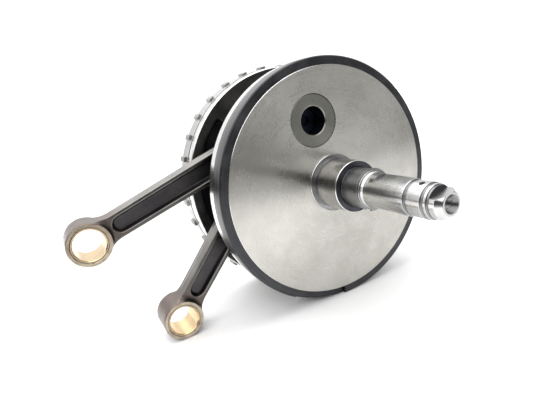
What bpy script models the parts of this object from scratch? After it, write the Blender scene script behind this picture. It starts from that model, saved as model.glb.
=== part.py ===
"""V-twin crankshaft: two flywheels pressed on a crankpin, with a fork rod and a knife rod.

The parts are modelled in a flat "side view" frame: x to the right, y up, z along the crank axis
towards the pinion shaft, with z = 0 in the rods' mid-plane. One empty turns that frame upright,
so that the crank axis lies along world Y, the pinion shaft points to -Y, and Z is up. The same
empty sets the parts down with the middle of their base at the world origin.
"""

from math import asin, atan2, cos, pi, radians, sin, sqrt

import bmesh
import bpy
from mathutils import Matrix, Vector

MM = 0.001
GAP = 0.3 * MM  # between faces that touch on the real parts

# Crank train
STROKE = 111.12 * MM
THROW = STROKE / 2
ROD_LENGTH = 193.4 * MM  # crankpin centre to wrist pin centre
PIN_ANGLE = radians(101.8)  # crankpin as it stands, counted from +x towards +y
ROD_SPREAD = radians(30.1)  # knife rod against the fork rod at the closed end of its swing

# Flywheels
RIM_RADIUS = 103.5 * MM
FACE_RADIUS = 96.3 * MM  # machined outer face, inside the dark edge of the rim
FACE_CHAMFER = 0.4 * MM
INNER_FACE_Z = 24.5 * MM
RIGHT_THICKNESS = 23.5 * MM
LEFT_THICKNESS = 28.0 * MM
EDGE_STEP = 0.6 * MM  # the machined face stands proud of the rim's edge
RIM_CHAMFER = 0.9 * MM
BAND_WIDTH = 9.0 * MM  # polished band beside each inner face
BAND_DEPTH = 0.35 * MM
SHAFT_SEAT_RADIUS = 19.0 * MM
POCKET_RADII = (42.0 * MM, 94.5 * MM)
POCKET_DEPTH = 7.0 * MM
OVERCUT = 5.0 * MM  # how far a cutter starts outside the face that it cuts
POCKET_SPAN = (radians(32), radians(104))  # either side of the crankpin
NOTCH_SPAN = (radians(238.5), radians(268))
NOTCH_RADIUS = 96.9 * MM
NOTCH_DEPTH = 3.5 * MM

# Sensor teeth round the left flywheel
TOOTH_PITCHES = 32
MISSING_TEETH = 2
TOOTH_HEIGHT = 2.3 * MM
TOOTH_WIDTH = 5.2 * MM
TOOTH_LENGTH = 10.5 * MM
TOOTH_ROOT = 4.0 * MM  # how far a tooth reaches into the rim
TOOTH_SETBACK = 1.45 * MM  # from the rim's chamfer
TOOTH_GAP_ANGLE = radians(266.4)  # middle of the missing teeth

# Crankpin
PIN_RADIUS = 21.1 * MM
PIN_HOLE_RADIUS = 11.4 * MM
PIN_BORE_RADIUS = 4.5 * MM
PIN_HOLE_DEPTH = 20.0 * MM
PIN_RECESS = 0.2 * MM  # its ends lie a hair below the flywheel faces
PIN_CHAMFER = 0.5 * MM
PIN_MOUTH = 1.0 * MM  # chamfer of the hole
PLUG_THICKNESS = 5.0 * MM
PLUG_FLOOR = 1.5 * MM  # left under the hexagon
PLUG_HEX_RADIUS = 5.2 * MM

# Big end bearings
ROLLER_RADIUS = 2.3 * MM
ROLLERS = 12
CAGE_HALF = 1.05 * MM  # half the cage's thickness
CAGE_EDGE = 0.8 * MM  # from the cage's face to the rollers' ends
ROLLER_CIRCLE = PIN_RADIUS + GAP + ROLLER_RADIUS
RACE_INNER = ROLLER_CIRCLE + ROLLER_RADIUS + GAP
RACE_OUTER = RACE_INNER + 3.0 * MM
BIG_END_RADIUS = 35.0 * MM
KNIFE_HALF_WIDTH = 11.4 * MM
FORK_SLOT_HALF = 12.0 * MM
FORK_HALF_WIDTH = 22.3 * MM
SLOT_RADIUS = 48.0 * MM
WASHER_THICKNESS = 1.3 * MM
WASHER_RADIUS = 33.0 * MM

# Rod beams and small ends
BEAM_HALF_HEIGHT = (11.9 * MM, 10.0 * MM)  # at the big end and at the small end
BEAM_HALF_THICKNESS = 7.75 * MM
WEB_HALF_THICKNESS = 2.6 * MM
RAIL_WIDTH = 3.1 * MM
BEAM_FILLET = 26.0 * MM
SMALL_END_RADIUS = 16.5 * MM
SMALL_END_HALF = 14.0 * MM
BUSH_INNER = 11.8 * MM
BUSH_OUTER = 13.4 * MM
BUSH_SETBACK = 0.4 * MM
FORK_TAPER = (44.0 * MM, 74.0 * MM)  # where the big end's width runs down to the beam's
FORK_POCKET_START = 78.0 * MM
KNIFE_TAPER = (38.0 * MM, 52.0 * MM)
KNIFE_POCKET_START = 50.0 * MM
BEAM_POCKET_MARGIN = 3.6 * MM  # from the pocket's end to the small end
SMALL_END_FLARE = 1.4 * MM  # the beam widens by this before the small end's face
FLARE_AT = (7.0 * MM, 2.0 * MM, -1.5 * MM)  # its three corners, short of the small end
CLEAR = 60.0 * MM  # reach of a cutter that runs out of a rod or flywheel

# Shafts, as distances out from the flywheel face
WASHER_FLANGE = (24.4 * MM, 1.8 * MM)  # radius, thickness
WASHER_CHAMFER = 0.4 * MM
RACE_CHAMFER = 0.8 * MM
MAIN_RACE = (20.8 * MM, 29.4 * MM)  # radius, length
RACE_BORE_RADIUS = 15.8 * MM
NECK_RADIUS = 15.4 * MM
RING_AT = 48.6 * MM
RING_THICKNESS = 1.6 * MM
RING_RADII = (13.6 * MM, 16.3 * MM)
RING_GAP_ANGLE = radians(246)
RING_GAP_WIDTH = 5.0 * MM
FLAT_SPAN = (61.5 * MM, 92.6 * MM)
FLAT_HEIGHT = 10.9 * MM  # flats' distance from the axis
END_FLAT_START = 114.0 * MM
END_FLAT_HEIGHT = 6.9 * MM
PINION_LENGTH = 122.5 * MM
PINION_HOLE_RADIUS = 5.4 * MM
PINION_HOLE_DEPTH = 24.0 * MM
OIL_HOLE_RADIUS = 1.7 * MM
OIL_HOLE_AT = 103.0 * MM
OIL_HOLE_SPAN = (6.0 * MM, 20.0 * MM)  # from inside the shaft to clear of it
OIL_HOLE_TURN = radians(4)
SPROCKET_LENGTH = 104.0 * MM
SPLINES = 20
SPLINE_SPAN = (64.0 * MM, 100.0 * MM)
SPLINE_RADIUS = 15.6 * MM
SPLINE_DEPTH = 1.9 * MM
SPROCKET_HOLE_RADIUS = 8.0 * MM
SPROCKET_HOLE_DEPTH = 34.0 * MM
SPROCKET_LEAD = 1.5 * MM  # chamfer at the splined end
SPLINE_RUN_OUT = 1.5 * MM
SPLINE_REACH = 2.2 * MM  # how far a tooth reaches into the shaft
HOLE_CHAMFER = 0.8 * MM
DRILL_POINT = 0.6  # depth of a drilled hole's point, as a share of its radius
SHAFT_LEAD = 1.0 * MM
SHAFT_INNER_END = INNER_FACE_Z + 0.5 * MM
FAR = 30.0 * MM  # reach of a cutter that runs out of the shaft
LONG = 200.0 * MM  # reach of a cutter along the whole shaft

# Sections of the shafts beyond the retaining ring: (radius, distance from the face) in millimetres
PINION_NECK = [(15.2, 50.9), (15.2, 51.6), (14.0, 52.2), (13.3, 54.0)]
PINION_DRIVE = [(13.0, 57.0), (13.0, 93.4), (11.7, 93.9), (11.7, 95.6)]
PINION_JOURNAL = [(12.5, 96.1), (12.5, 107.8), (11.4, 108.4), (11.4, 109.6)]
PINION_COLLAR = [(11.9, 110.1), (11.9, 112.0), (10.8, 112.6), (10.8, 113.7)]
PINION_END = [(11.1, 114.2), (11.1, 118.5), (7.8, 122.5)]
SPROCKET_SEAT = [(15.2, 50.9), (15.2, 59.0)]

LARGE_STEPS = 72
PIN_STEPS = 32
SHAFT_STEPS = 28

FINISHES = {
    "brushed_steel": ((0.55, 0.54, 0.50), 0.32, 1.0),
    "polished_steel": ((0.70, 0.70, 0.69), 0.16, 1.0),
    "forged_steel": ((0.10, 0.095, 0.09), 0.5, 0.9),
    "bearing_steel": ((0.48, 0.48, 0.47), 0.25, 1.0),
    "bronze": ((0.66, 0.47, 0.22), 0.3, 1.0),
    "dark_steel": ((0.16, 0.16, 0.17), 0.4, 1.0),
}


def polar(radius, angle):
    return Vector((radius * cos(angle), radius * sin(angle), 0))


def new_collection(name):
    collection = bpy.data.collections.new(name)
    bpy.context.scene.collection.children.link(collection)
    return collection


def material(node, finish):
    colour, roughness, metallic = FINISHES[finish]
    made = bpy.data.materials.new(f"{node}_{finish}")
    made.diffuse_color = (*colour, 1)
    made.use_nodes = True
    shader = made.node_tree.nodes["Principled BSDF"]
    shader.inputs["Base Color"].default_value = (*colour, 1)
    shader.inputs["Roughness"].default_value = roughness
    shader.inputs["Metallic"].default_value = metallic
    return made


def empty(name, parent=None, location=(0, 0, 0), angle=0.0):
    made = bpy.data.objects.new(name, None)
    made.parent = parent
    made.location = location
    made.rotation_euler = (0, 0, angle)
    made.empty_display_size = 0.02
    parts.objects.link(made)
    return made


def add_part(name, mesh, finish, parent):
    obj = bpy.data.objects.new(name, mesh)
    obj.parent = parent
    mesh.materials.append(material(name, finish))
    parts.objects.link(obj)
    return obj


def add_cutter(name, mesh, parent=None, location=(0, 0, 0), angle=0.0):
    obj = bpy.data.objects.new(name, mesh)
    obj.parent = parent
    obj.location = location
    obj.rotation_euler = (0, 0, angle)
    obj.hide_render = True
    obj.display_type = "WIRE"
    cutters.objects.link(obj)
    return obj


def boolean(obj, cutter, operation="DIFFERENCE"):
    modifier = obj.modifiers.new(f"{operation.lower()}_{cutter.name}", "BOOLEAN")
    modifier.operation = operation
    modifier.object = cutter
    modifier.solver = "EXACT"


def mesh_from(name, build):
    """A mesh that build() makes in a bmesh."""
    bm = bmesh.new()
    build(bm)
    bmesh.ops.recalc_face_normals(bm, faces=bm.faces)
    mesh = bpy.data.meshes.new(name)
    bm.to_mesh(mesh)
    bm.free()
    return mesh


def finish_smooth(mesh, angle=32):
    mesh.shade_smooth()
    mesh.set_sharp_from_angle(angle=radians(angle))


def cylinder(name, radius, z0, z1, steps=PIN_STEPS, centre=(0, 0), turn=0.0):
    """A plain cylinder between two heights."""

    def build(bm):
        place = Matrix.Translation((*centre, (z0 + z1) / 2)) @ Matrix.Rotation(turn, 4, "Z")
        bmesh.ops.create_cone(
            bm,
            cap_ends=True,
            segments=steps,
            radius1=radius,
            radius2=radius,
            depth=z1 - z0,
            matrix=place,
        )

    return mesh_from(name, build)


def box(name, low, high):
    def build(bm):
        size = [b - a for a, b in zip(low, high)]
        middle = [(a + b) / 2 for a, b in zip(low, high)]
        place = Matrix.Translation(middle) @ Matrix.Diagonal((*size, 1))
        bmesh.ops.create_cube(bm, size=1, matrix=place)

    return mesh_from(name, build)


def turned(name, profile, steps=LARGE_STEPS):
    """A closed mesh of revolution about z, from (radius, z) points that run round the section."""
    mesh = bpy.data.meshes.new(name + "_profile")
    points = [(r, 0, z) for r, z in profile]
    count = len(points)
    mesh.from_pydata(points, [(i, (i + 1) % count) for i in range(count)], [])
    obj = bpy.data.objects.new(name + "_profile", mesh)
    cutters.objects.link(obj)
    screw = obj.modifiers.new("turn", "SCREW")
    screw.steps = screw.render_steps = steps
    screw.use_merge_vertices = True
    screw.merge_threshold = 0.00001
    return baked(name, obj)


def plate(name, outline, z0, z1):
    """A flat outline of (x, y) points, extruded between two heights."""
    curve = bpy.data.curves.new(name + "_outline", "CURVE")
    curve.dimensions = "2D"
    curve.fill_mode = "BOTH"
    curve.extrude = (z1 - z0) / 2
    spline = curve.splines.new("POLY")
    spline.points.add(len(outline) - 1)
    for point, (x, y) in zip(spline.points, outline):
        point.co = (x, y, 0, 1)
    spline.use_cyclic_u = True
    obj = bpy.data.objects.new(name + "_outline", curve)
    cutters.objects.link(obj)
    mesh = baked(name, obj)
    mesh.transform(Matrix.Translation((0, 0, (z0 + z1) / 2)))
    return mesh


def baked(name, obj):
    """The evaluated, welded mesh of a helper object, which is then removed."""
    bpy.context.view_layer.update()
    graph = bpy.context.evaluated_depsgraph_get()
    mesh = bpy.data.meshes.new_from_object(obj.evaluated_get(graph))
    mesh.name = name
    bm = bmesh.new()
    bm.from_mesh(mesh)
    bmesh.ops.remove_doubles(bm, verts=bm.verts, dist=0.000001)
    bmesh.ops.recalc_face_normals(bm, faces=bm.faces)
    bm.to_mesh(mesh)
    bm.free()
    mesh.materials.clear()
    bpy.data.objects.remove(obj)
    return mesh


def arc(centre, radius, start, end, steps):
    """Points along an arc, both ends included."""
    turns = [start + (end - start) * i / steps for i in range(steps + 1)]
    return [(centre[0] + radius * cos(t), centre[1] + radius * sin(t)) for t in turns]


def sector(radii, span, steps):
    """The outline of a ring's sector."""
    return arc((0, 0), radii[1], *span, steps) + arc((0, 0), radii[0], *reversed(span), steps)


# ---------------------------------------------------------------- flywheels


def flywheel_profile(thickness):
    """Section of a flywheel with its inner face at z = 0 and its machined face at z = thickness."""
    edge = thickness - EDGE_STEP
    rim = RIM_RADIUS
    bore = SHAFT_SEAT_RADIUS + GAP
    return [
        (bore, thickness),
        (FACE_RADIUS - FACE_CHAMFER, thickness),
        (FACE_RADIUS, thickness - FACE_CHAMFER),
        (FACE_RADIUS + FACE_CHAMFER / 2, edge),
        (rim - RIM_CHAMFER, edge),
        (rim, edge - RIM_CHAMFER),
        (rim, BAND_WIDTH),
        (rim - BAND_DEPTH, BAND_WIDTH - BAND_DEPTH),
        (rim - BAND_DEPTH, RIM_CHAMFER),
        (rim - BAND_DEPTH - RIM_CHAMFER, 0),
        (bore, 0),
    ]


def cut_pockets(wheel, side):
    """Two pockets in the inner face lighten the half of the flywheel that holds the crankpin."""
    for hand in (1, -1):
        span = [PIN_ANGLE + hand * a for a in (POCKET_SPAN if hand > 0 else reversed(POCKET_SPAN))]
        inner = side * INNER_FACE_Z
        z = sorted((inner - side * OVERCUT, inner + side * POCKET_DEPTH))
        name = f"{wheel.name}_pocket_{hand}"
        cutter = add_cutter(name, plate(name, sector(POCKET_RADII, span, 14), *z), wheel.parent)
        boolean(wheel, cutter)


def cut_pin_bore(wheel):
    name = f"{wheel.name}_pin_bore"
    centre = polar(THROW, PIN_ANGLE)[:2]
    mesh = cylinder(name, PIN_RADIUS + GAP, -CLEAR, CLEAR, PIN_STEPS, centre)
    boolean(wheel, add_cutter(name, mesh, wheel.parent))


def right_flywheel(parent):
    mesh = turned("right_flywheel", flywheel_profile(RIGHT_THICKNESS))
    mesh.transform(Matrix.Translation((0, 0, INNER_FACE_Z)))
    wheel = add_part("right_flywheel", mesh, "brushed_steel", parent)
    cut_pin_bore(wheel)
    cut_pockets(wheel, 1)
    edge = INNER_FACE_Z + RIGHT_THICKNESS - EDGE_STEP
    outline = sector((NOTCH_RADIUS, RIM_RADIUS + OVERCUT), NOTCH_SPAN, 10)
    name = "rim_notch"
    cutter = add_cutter(name, plate(name, outline, edge - NOTCH_DEPTH, edge + OVERCUT), parent)
    boolean(wheel, cutter)


def left_flywheel(parent):
    mesh = turned("left_flywheel", flywheel_profile(LEFT_THICKNESS))
    mesh.transform(Matrix.Translation((0, 0, INNER_FACE_Z)))
    mesh.transform(Matrix.Rotation(pi, 4, "X"))
    wheel = add_part("left_flywheel", mesh, "forged_steel", parent)
    cut_pin_bore(wheel)
    cut_pockets(wheel, -1)
    boolean(wheel, add_cutter("sensor_teeth", sensor_teeth(), parent), "UNION")


def sensor_teeth():
    """Blocks round the rim at an even pitch, with a gap where the missing ones would be."""
    pitch = 2 * pi / TOOTH_PITCHES
    back = -(INNER_FACE_Z + LEFT_THICKNESS - EDGE_STEP - RIM_CHAMFER) + TOOTH_SETBACK

    def build(bm):
        for i in range(TOOTH_PITCHES - MISSING_TEETH):
            angle = TOOTH_GAP_ANGLE + pitch * ((MISSING_TEETH + 1) / 2 + i)
            size = (TOOTH_HEIGHT + TOOTH_ROOT, TOOTH_WIDTH, TOOTH_LENGTH)
            radius = RIM_RADIUS + (TOOTH_HEIGHT - TOOTH_ROOT) / 2
            place = (
                Matrix.Rotation(angle, 4, "Z")
                @ Matrix.Translation((radius, 0, back + TOOTH_LENGTH / 2))
                @ Matrix.Diagonal((*size, 1))
            )
            bmesh.ops.create_cube(bm, size=1, matrix=place)

    return mesh_from("sensor_teeth", build)


# ---------------------------------------------------------------- crankpin


def crankpin(pivot):
    right = INNER_FACE_Z + RIGHT_THICKNESS - PIN_RECESS
    left = -(INNER_FACE_Z + LEFT_THICKNESS) + PIN_RECESS
    profile = [
        (PIN_HOLE_RADIUS, right - PIN_MOUTH),
        (PIN_HOLE_RADIUS + PIN_MOUTH, right),
        (PIN_RADIUS - PIN_CHAMFER, right),
        (PIN_RADIUS, right - PIN_CHAMFER),
        (PIN_RADIUS, left + PIN_CHAMFER),
        (PIN_RADIUS - PIN_CHAMFER, left),
        (PIN_HOLE_RADIUS, left),
        (PIN_HOLE_RADIUS, left + PIN_HOLE_DEPTH),
        (PIN_BORE_RADIUS, left + PIN_HOLE_DEPTH),
        (PIN_BORE_RADIUS, right - PIN_HOLE_DEPTH),
        (PIN_HOLE_RADIUS, right - PIN_HOLE_DEPTH),
    ]
    mesh = turned("crankpin", profile, PIN_STEPS)
    add_part("crankpin", mesh, "bearing_steel", pivot)
    for side, end in ((1, right), (-1, left)):
        name = "crankpin_plug_right" if side > 0 else "crankpin_plug_left"
        floor = end - side * (PIN_HOLE_DEPTH - GAP)
        faces = sorted((floor, floor + side * PLUG_THICKNESS))
        plug = add_part(
            name,
            cylinder(name, PIN_HOLE_RADIUS - GAP, *faces, 32),
            "dark_steel",
            pivot,
        )
        socket = sorted((floor + side * PLUG_FLOOR, end))
        hexagon = cylinder(f"{name}_hex", PLUG_HEX_RADIUS, *socket, 6)
        boolean(plug, add_cutter(f"{name}_hex", hexagon, pivot))


def side_washers(pivot):
    """Thrust washers between the fork rod and the flywheels' inner faces."""
    for side, name in ((1, "rod_side_washer_right"), (-1, "rod_side_washer_left")):
        outer = INNER_FACE_Z - GAP
        profile = ring_profile(PIN_RADIUS + GAP, WASHER_RADIUS, outer - WASHER_THICKNESS, outer)
        mesh = turned(name, profile, PIN_STEPS)
        if side < 0:
            mesh.transform(Matrix.Rotation(pi, 4, "X"))
        add_part(name, mesh, "bearing_steel", pivot)


def ring_profile(inner, outer, z0, z1, chamfer=0.0):
    if not chamfer:
        return [(inner, z1), (outer, z1), (outer, z0), (inner, z0)]
    return [
        (inner, z1),
        (outer - chamfer, z1),
        (outer, z1 - chamfer),
        (outer, z0 + chamfer),
        (outer - chamfer, z0),
        (inner, z0),
    ]


# ---------------------------------------------------------------- big end bearings


def cage(name, z0, z1, parent):
    """A cage ring with its rollers, joined into one piece."""
    inner = ROLLER_CIRCLE - CAGE_HALF
    outer = ROLLER_CIRCLE + CAGE_HALF
    ring = turned(name, ring_profile(inner, outer, z0 + GAP, z1 - GAP), PIN_STEPS)
    obj = add_part(name, ring, "bearing_steel", parent)

    def build(bm):
        for i in range(ROLLERS):
            place = Matrix.Translation(polar(ROLLER_CIRCLE, 2 * pi * (i + 0.5) / ROLLERS))
            place = place @ Matrix.Translation((0, 0, (z0 + z1) / 2))
            bmesh.ops.create_cone(
                bm,
                cap_ends=True,
                segments=8,
                radius1=ROLLER_RADIUS,
                radius2=ROLLER_RADIUS,
                depth=z1 - z0 - 2 * GAP - 2 * CAGE_EDGE,
                matrix=place,
            )

    rollers = mesh_from(name + "_rollers", build)
    boolean(obj, add_cutter(name + "_rollers", rollers, parent), "UNION")


def race(name, z0, z1, parent):
    mesh = turned(name, ring_profile(RACE_INNER, RACE_OUTER - GAP, z0, z1), PIN_STEPS)
    add_part(name, mesh, "bearing_steel", parent)


# ---------------------------------------------------------------- rods


def fillet(end_x, end_radius, half_height, radius, inward):
    """Centre and end points of the arc that joins a beam's edge to the round end at end_x."""
    reach = sqrt((end_radius + radius) ** 2 - (half_height + radius) ** 2)
    centre = (end_x + inward * reach, half_height + radius)
    share = end_radius / (end_radius + radius)
    meets_end = (end_x + inward * reach * share, centre[1] * share)
    return centre, meets_end


def side_outline(half_heights):
    """Side view of a rod: a round big end, a tapered beam and a round small end."""
    near, near_meets = fillet(0, BIG_END_RADIUS, half_heights[0], BEAM_FILLET, 1)
    far, far_meets = fillet(ROD_LENGTH, SMALL_END_RADIUS, half_heights[1], BEAM_FILLET, -1)
    near_turn = atan2(near_meets[1] - near[1], near_meets[0] - near[0]) + 2 * pi
    far_turn = atan2(far_meets[1] - far[1], far_meets[0] - far[0]) + 2 * pi
    big_start = atan2(near_meets[1], near_meets[0])
    small_start = atan2(far_meets[1], far_meets[0] - ROD_LENGTH)
    upper = arc(near, BEAM_FILLET, near_turn, 1.5 * pi, 5)
    upper += arc(far, BEAM_FILLET, 1.5 * pi, far_turn, 5)
    lower = [(x, -y) for x, y in reversed(upper)]
    small = arc((ROD_LENGTH, 0), SMALL_END_RADIUS, small_start, -small_start, 26)[1:-1]
    big = arc((0, 0), BIG_END_RADIUS, 2 * pi - big_start, big_start, 36)[1:-1]
    return upper + small + lower + big


def top_outline(big_half, big_end, beam_start):
    """View along a rod's edge: half widths of the big end, the beam and the small end."""
    flare = [ROD_LENGTH - SMALL_END_RADIUS - short for short in FLARE_AT]
    middle = (0.6 * big_end + 0.4 * beam_start, 0.55 * big_half + 0.45 * BEAM_HALF_THICKNESS)
    upper = [
        (-CLEAR, big_half),
        (big_end, big_half),
        middle,
        (beam_start, BEAM_HALF_THICKNESS),
        (flare[0], BEAM_HALF_THICKNESS),
        (flare[1], BEAM_HALF_THICKNESS + SMALL_END_FLARE),
        (flare[2], SMALL_END_HALF),
        (ROD_LENGTH + CLEAR, SMALL_END_HALF),
    ]
    return upper + [(x, -z) for x, z in reversed(upper)]


def pocket_outline(start, end):
    """The hollow of the I-beam, with round ends."""

    def half_height(x):
        share = (x - BIG_END_RADIUS) / (ROD_LENGTH - SMALL_END_RADIUS - BIG_END_RADIUS)
        big, small = BEAM_HALF_HEIGHT
        return big + (small - big) * share - RAIL_WIDTH

    r0, r1 = half_height(start), half_height(end)
    left = arc((start + r0, 0), r0, 0.5 * pi, 1.5 * pi, 8)
    right = arc((end - r1, 0), r1, -0.5 * pi, 0.5 * pi, 8)
    return left + right


def rod(name, pivot, big_half, taper, pocket_start):
    """A forged rod: its side view crossed with its edge view, then bored and hollowed."""
    mesh = plate(name, side_outline(BEAM_HALF_HEIGHT), -CLEAR, CLEAR)
    body = add_part(name, mesh, "forged_steel", pivot)
    edge = plate(f"{name}_edge_view", top_outline(big_half, *taper), -CLEAR, CLEAR)
    edge.transform(Matrix.Rotation(pi / 2, 4, "X"))
    boolean(body, add_cutter(f"{name}_edge_view", edge, pivot), "INTERSECT")
    big_bore = cylinder(f"{name}_big_bore", RACE_OUTER, -CLEAR, CLEAR)
    boolean(body, add_cutter(f"{name}_big_bore", big_bore, pivot))
    bore = (BUSH_OUTER + GAP, -CLEAR, CLEAR, 40, (ROD_LENGTH, 0))
    boolean(body, add_cutter(f"{name}_small_bore", cylinder(f"{name}_small_bore", *bore), pivot))
    outline = pocket_outline(pocket_start, ROD_LENGTH - SMALL_END_RADIUS - BEAM_POCKET_MARGIN)
    for side in (1, -1):
        cut_name = f"{name}_pocket_{side}"
        z = sorted((side * WEB_HALF_THICKNESS, side * CLEAR))
        boolean(body, add_cutter(cut_name, plate(cut_name, outline, *z), pivot))
    return body


def bushing(name, pivot):
    half = SMALL_END_HALF - BUSH_SETBACK
    mesh = turned(name, ring_profile(BUSH_INNER, BUSH_OUTER, -half, half), 40)
    mesh.transform(Matrix.Translation((ROD_LENGTH, 0, 0)))
    add_part(name, mesh, "bronze", pivot)


def fork_rod(pivot):
    """The outer rod: its forked big end straddles the knife rod's."""
    body = rod("fork_rod", pivot, FORK_HALF_WIDTH, FORK_TAPER, FORK_POCKET_START)
    slot = cylinder("fork_slot", SLOT_RADIUS, -FORK_SLOT_HALF, FORK_SLOT_HALF, 64)
    boolean(body, add_cutter("fork_slot", slot, pivot))
    race("fork_race_right", FORK_SLOT_HALF, FORK_HALF_WIDTH, pivot)
    race("fork_race_left", -FORK_HALF_WIDTH, -FORK_SLOT_HALF, pivot)
    bushing("fork_bushing", pivot)


def knife_rod(pivot):
    """The inner rod."""
    rod("knife_rod", pivot, KNIFE_HALF_WIDTH, KNIFE_TAPER, KNIFE_POCKET_START)
    race("knife_race", -KNIFE_HALF_WIDTH, KNIFE_HALF_WIDTH, pivot)
    bushing("knife_bushing", pivot)


# ---------------------------------------------------------------- shafts


def shaft_start(face):
    """The end that is pressed into the flywheel, and the seat of the main bearing race."""
    washer_end = face + WASHER_FLANGE[1]
    return [
        (SHAFT_SEAT_RADIUS - SHAFT_LEAD, SHAFT_INNER_END),
        (SHAFT_SEAT_RADIUS, SHAFT_INNER_END + SHAFT_LEAD),
        (SHAFT_SEAT_RADIUS, face),
        (RACE_BORE_RADIUS - GAP, face),
        (RACE_BORE_RADIUS - GAP, washer_end + MAIN_RACE[1]),
        (NECK_RADIUS, washer_end + MAIN_RACE[1]),
        (NECK_RADIUS, face + RING_AT),
        (RING_RADII[0] - GAP, face + RING_AT),
        (RING_RADII[0] - GAP, face + RING_AT + RING_THICKNESS + 2 * GAP),
    ]


def beyond(face, table):
    """Section points from a table of millimetres."""
    return [(radius * MM, face + distance * MM) for radius, distance in table]


def pinion_shaft(parent):
    face = INNER_FACE_Z + RIGHT_THICKNESS
    end = face + PINION_LENGTH
    hole = end - PINION_HOLE_DEPTH
    outside = PINION_NECK + PINION_DRIVE + PINION_JOURNAL + PINION_COLLAR + PINION_END
    section = shaft_start(face) + beyond(face, outside)
    section += [
        (PINION_HOLE_RADIUS + HOLE_CHAMFER, end),
        (PINION_HOLE_RADIUS, end - HOLE_CHAMFER),
        (PINION_HOLE_RADIUS, hole),
        (0, hole - PINION_HOLE_RADIUS * DRILL_POINT),
        (0, SHAFT_INNER_END),
    ]
    mesh = turned("pinion_shaft", section, SHAFT_STEPS)
    shaft = add_part("pinion_shaft", mesh, "polished_steel", parent)
    z0, z1 = (face + distance for distance in FLAT_SPAN)
    for side in (1, -1):
        low, high = sorted((side * FLAT_HEIGHT, side * FAR))
        flat = box(f"drive_flat_{side}", (low, -FAR, z0), (high, FAR, z1))
        boolean(shaft, add_cutter(f"drive_flat_{side}", flat, parent, angle=PIN_ANGLE))
    flat = box("end_flat", (END_FLAT_HEIGHT, -FAR, face + END_FLAT_START), (FAR, FAR, end + FAR))
    boolean(shaft, add_cutter("end_flat", flat, parent, angle=PIN_ANGLE))
    drill = cylinder("oil_hole", OIL_HOLE_RADIUS, *OIL_HOLE_SPAN, 16)
    drill.transform(Matrix.Rotation(pi / 2, 4, "Y"))
    drill.transform(Matrix.Translation((0, 0, face + OIL_HOLE_AT)))
    boolean(shaft, add_cutter("oil_hole", drill, parent, angle=PIN_ANGLE + OIL_HOLE_TURN))


def sprocket_shaft(parent):
    face = INNER_FACE_Z + LEFT_THICKNESS
    end = face + SPROCKET_LENGTH
    hole = end - SPROCKET_HOLE_DEPTH
    spline_root = SPLINE_RADIUS - SPLINE_DEPTH
    section = shaft_start(face) + beyond(face, SPROCKET_SEAT)
    section += [
        (spline_root, face + SPLINE_SPAN[0] - 2 * SPLINE_RUN_OUT),
        (spline_root, end - SPROCKET_LEAD),
        (spline_root - SPROCKET_LEAD, end),
        (SPROCKET_HOLE_RADIUS + HOLE_CHAMFER, end),
        (SPROCKET_HOLE_RADIUS, end - HOLE_CHAMFER),
        (SPROCKET_HOLE_RADIUS, hole),
        (0, hole - SPROCKET_HOLE_RADIUS * DRILL_POINT),
        (0, SHAFT_INNER_END),
    ]
    mesh = turned("sprocket_shaft", section, SHAFT_STEPS)
    mesh.transform(Matrix.Rotation(pi, 4, "X"))
    shaft = add_part("sprocket_shaft", mesh, "polished_steel", parent)
    boolean(shaft, add_cutter("splines", spline_mesh(face), parent), "UNION")


def spline_mesh(face):
    """Straight-sided spline teeth, as blocks that reach into the shaft."""
    length = SPLINE_SPAN[1] - SPLINE_SPAN[0]
    width = pi * SPLINE_RADIUS / SPLINES
    height = SPLINE_DEPTH + SPLINE_REACH

    def build(bm):
        for i in range(SPLINES):
            size = (height, width * 0.92, length)
            radius = SPLINE_RADIUS - height / 2
            z = -(face + SPLINE_SPAN[0] + length / 2)
            place = (
                Matrix.Rotation(2 * pi * i / SPLINES, 4, "Z")
                @ Matrix.Translation((radius, 0, z))
                @ Matrix.Diagonal((*size, 1))
            )
            bmesh.ops.create_cube(bm, size=1, matrix=place)

    return mesh_from("splines", build)


def shaft_rings(side, face, names, parent):
    """The thrust washer, the main bearing's inner race and the retaining ring of one shaft."""
    washer, main_race, ring = names
    z1 = face + WASHER_FLANGE[1]
    seat = RACE_BORE_RADIUS
    race_end = z1 + MAIN_RACE[1] - GAP
    ring_start = face + RING_AT + GAP
    sections = {
        washer: (ring_profile(seat, WASHER_FLANGE[0], face + GAP, z1, WASHER_CHAMFER), "bearing_steel"),
        main_race: (ring_profile(seat, MAIN_RACE[0], z1 + GAP, race_end, RACE_CHAMFER), "polished_steel"),
        ring: (ring_profile(*RING_RADII, ring_start, ring_start + RING_THICKNESS), "dark_steel"),
    }
    for name, (section, finish) in sections.items():
        mesh = turned(name, section, PIN_STEPS)
        if side < 0:
            mesh.transform(Matrix.Rotation(pi, 4, "X"))
        obj = add_part(name, mesh, finish, parent)
        if name == ring:
            half = RING_GAP_WIDTH / 2
            gap = box(f"{name}_gap", (RING_RADII[0] / 2, -half, -LONG), (FAR, half, LONG))
            boolean(obj, add_cutter(f"{name}_gap", gap, parent, angle=RING_GAP_ANGLE))


# ---------------------------------------------------------------- assembly


def stand_on_origin(frame):
    """Moves the assembly so that the middle of its base is at the world origin."""
    bpy.context.view_layer.update()
    graph = bpy.context.evaluated_depsgraph_get()
    corners = []
    for obj in parts.objects:
        if obj.type == "MESH":
            shape = obj.evaluated_get(graph)
            corners += [shape.matrix_world @ vertex.co for vertex in shape.data.vertices]
    low = [min(c[axis] for c in corners) for axis in range(3)]
    high = [max(c[axis] for c in corners) for axis in range(3)]
    frame.location = (-(low[0] + high[0]) / 2, -(low[1] + high[1]) / 2, -low[2])
    bpy.context.view_layer.update()


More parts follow.
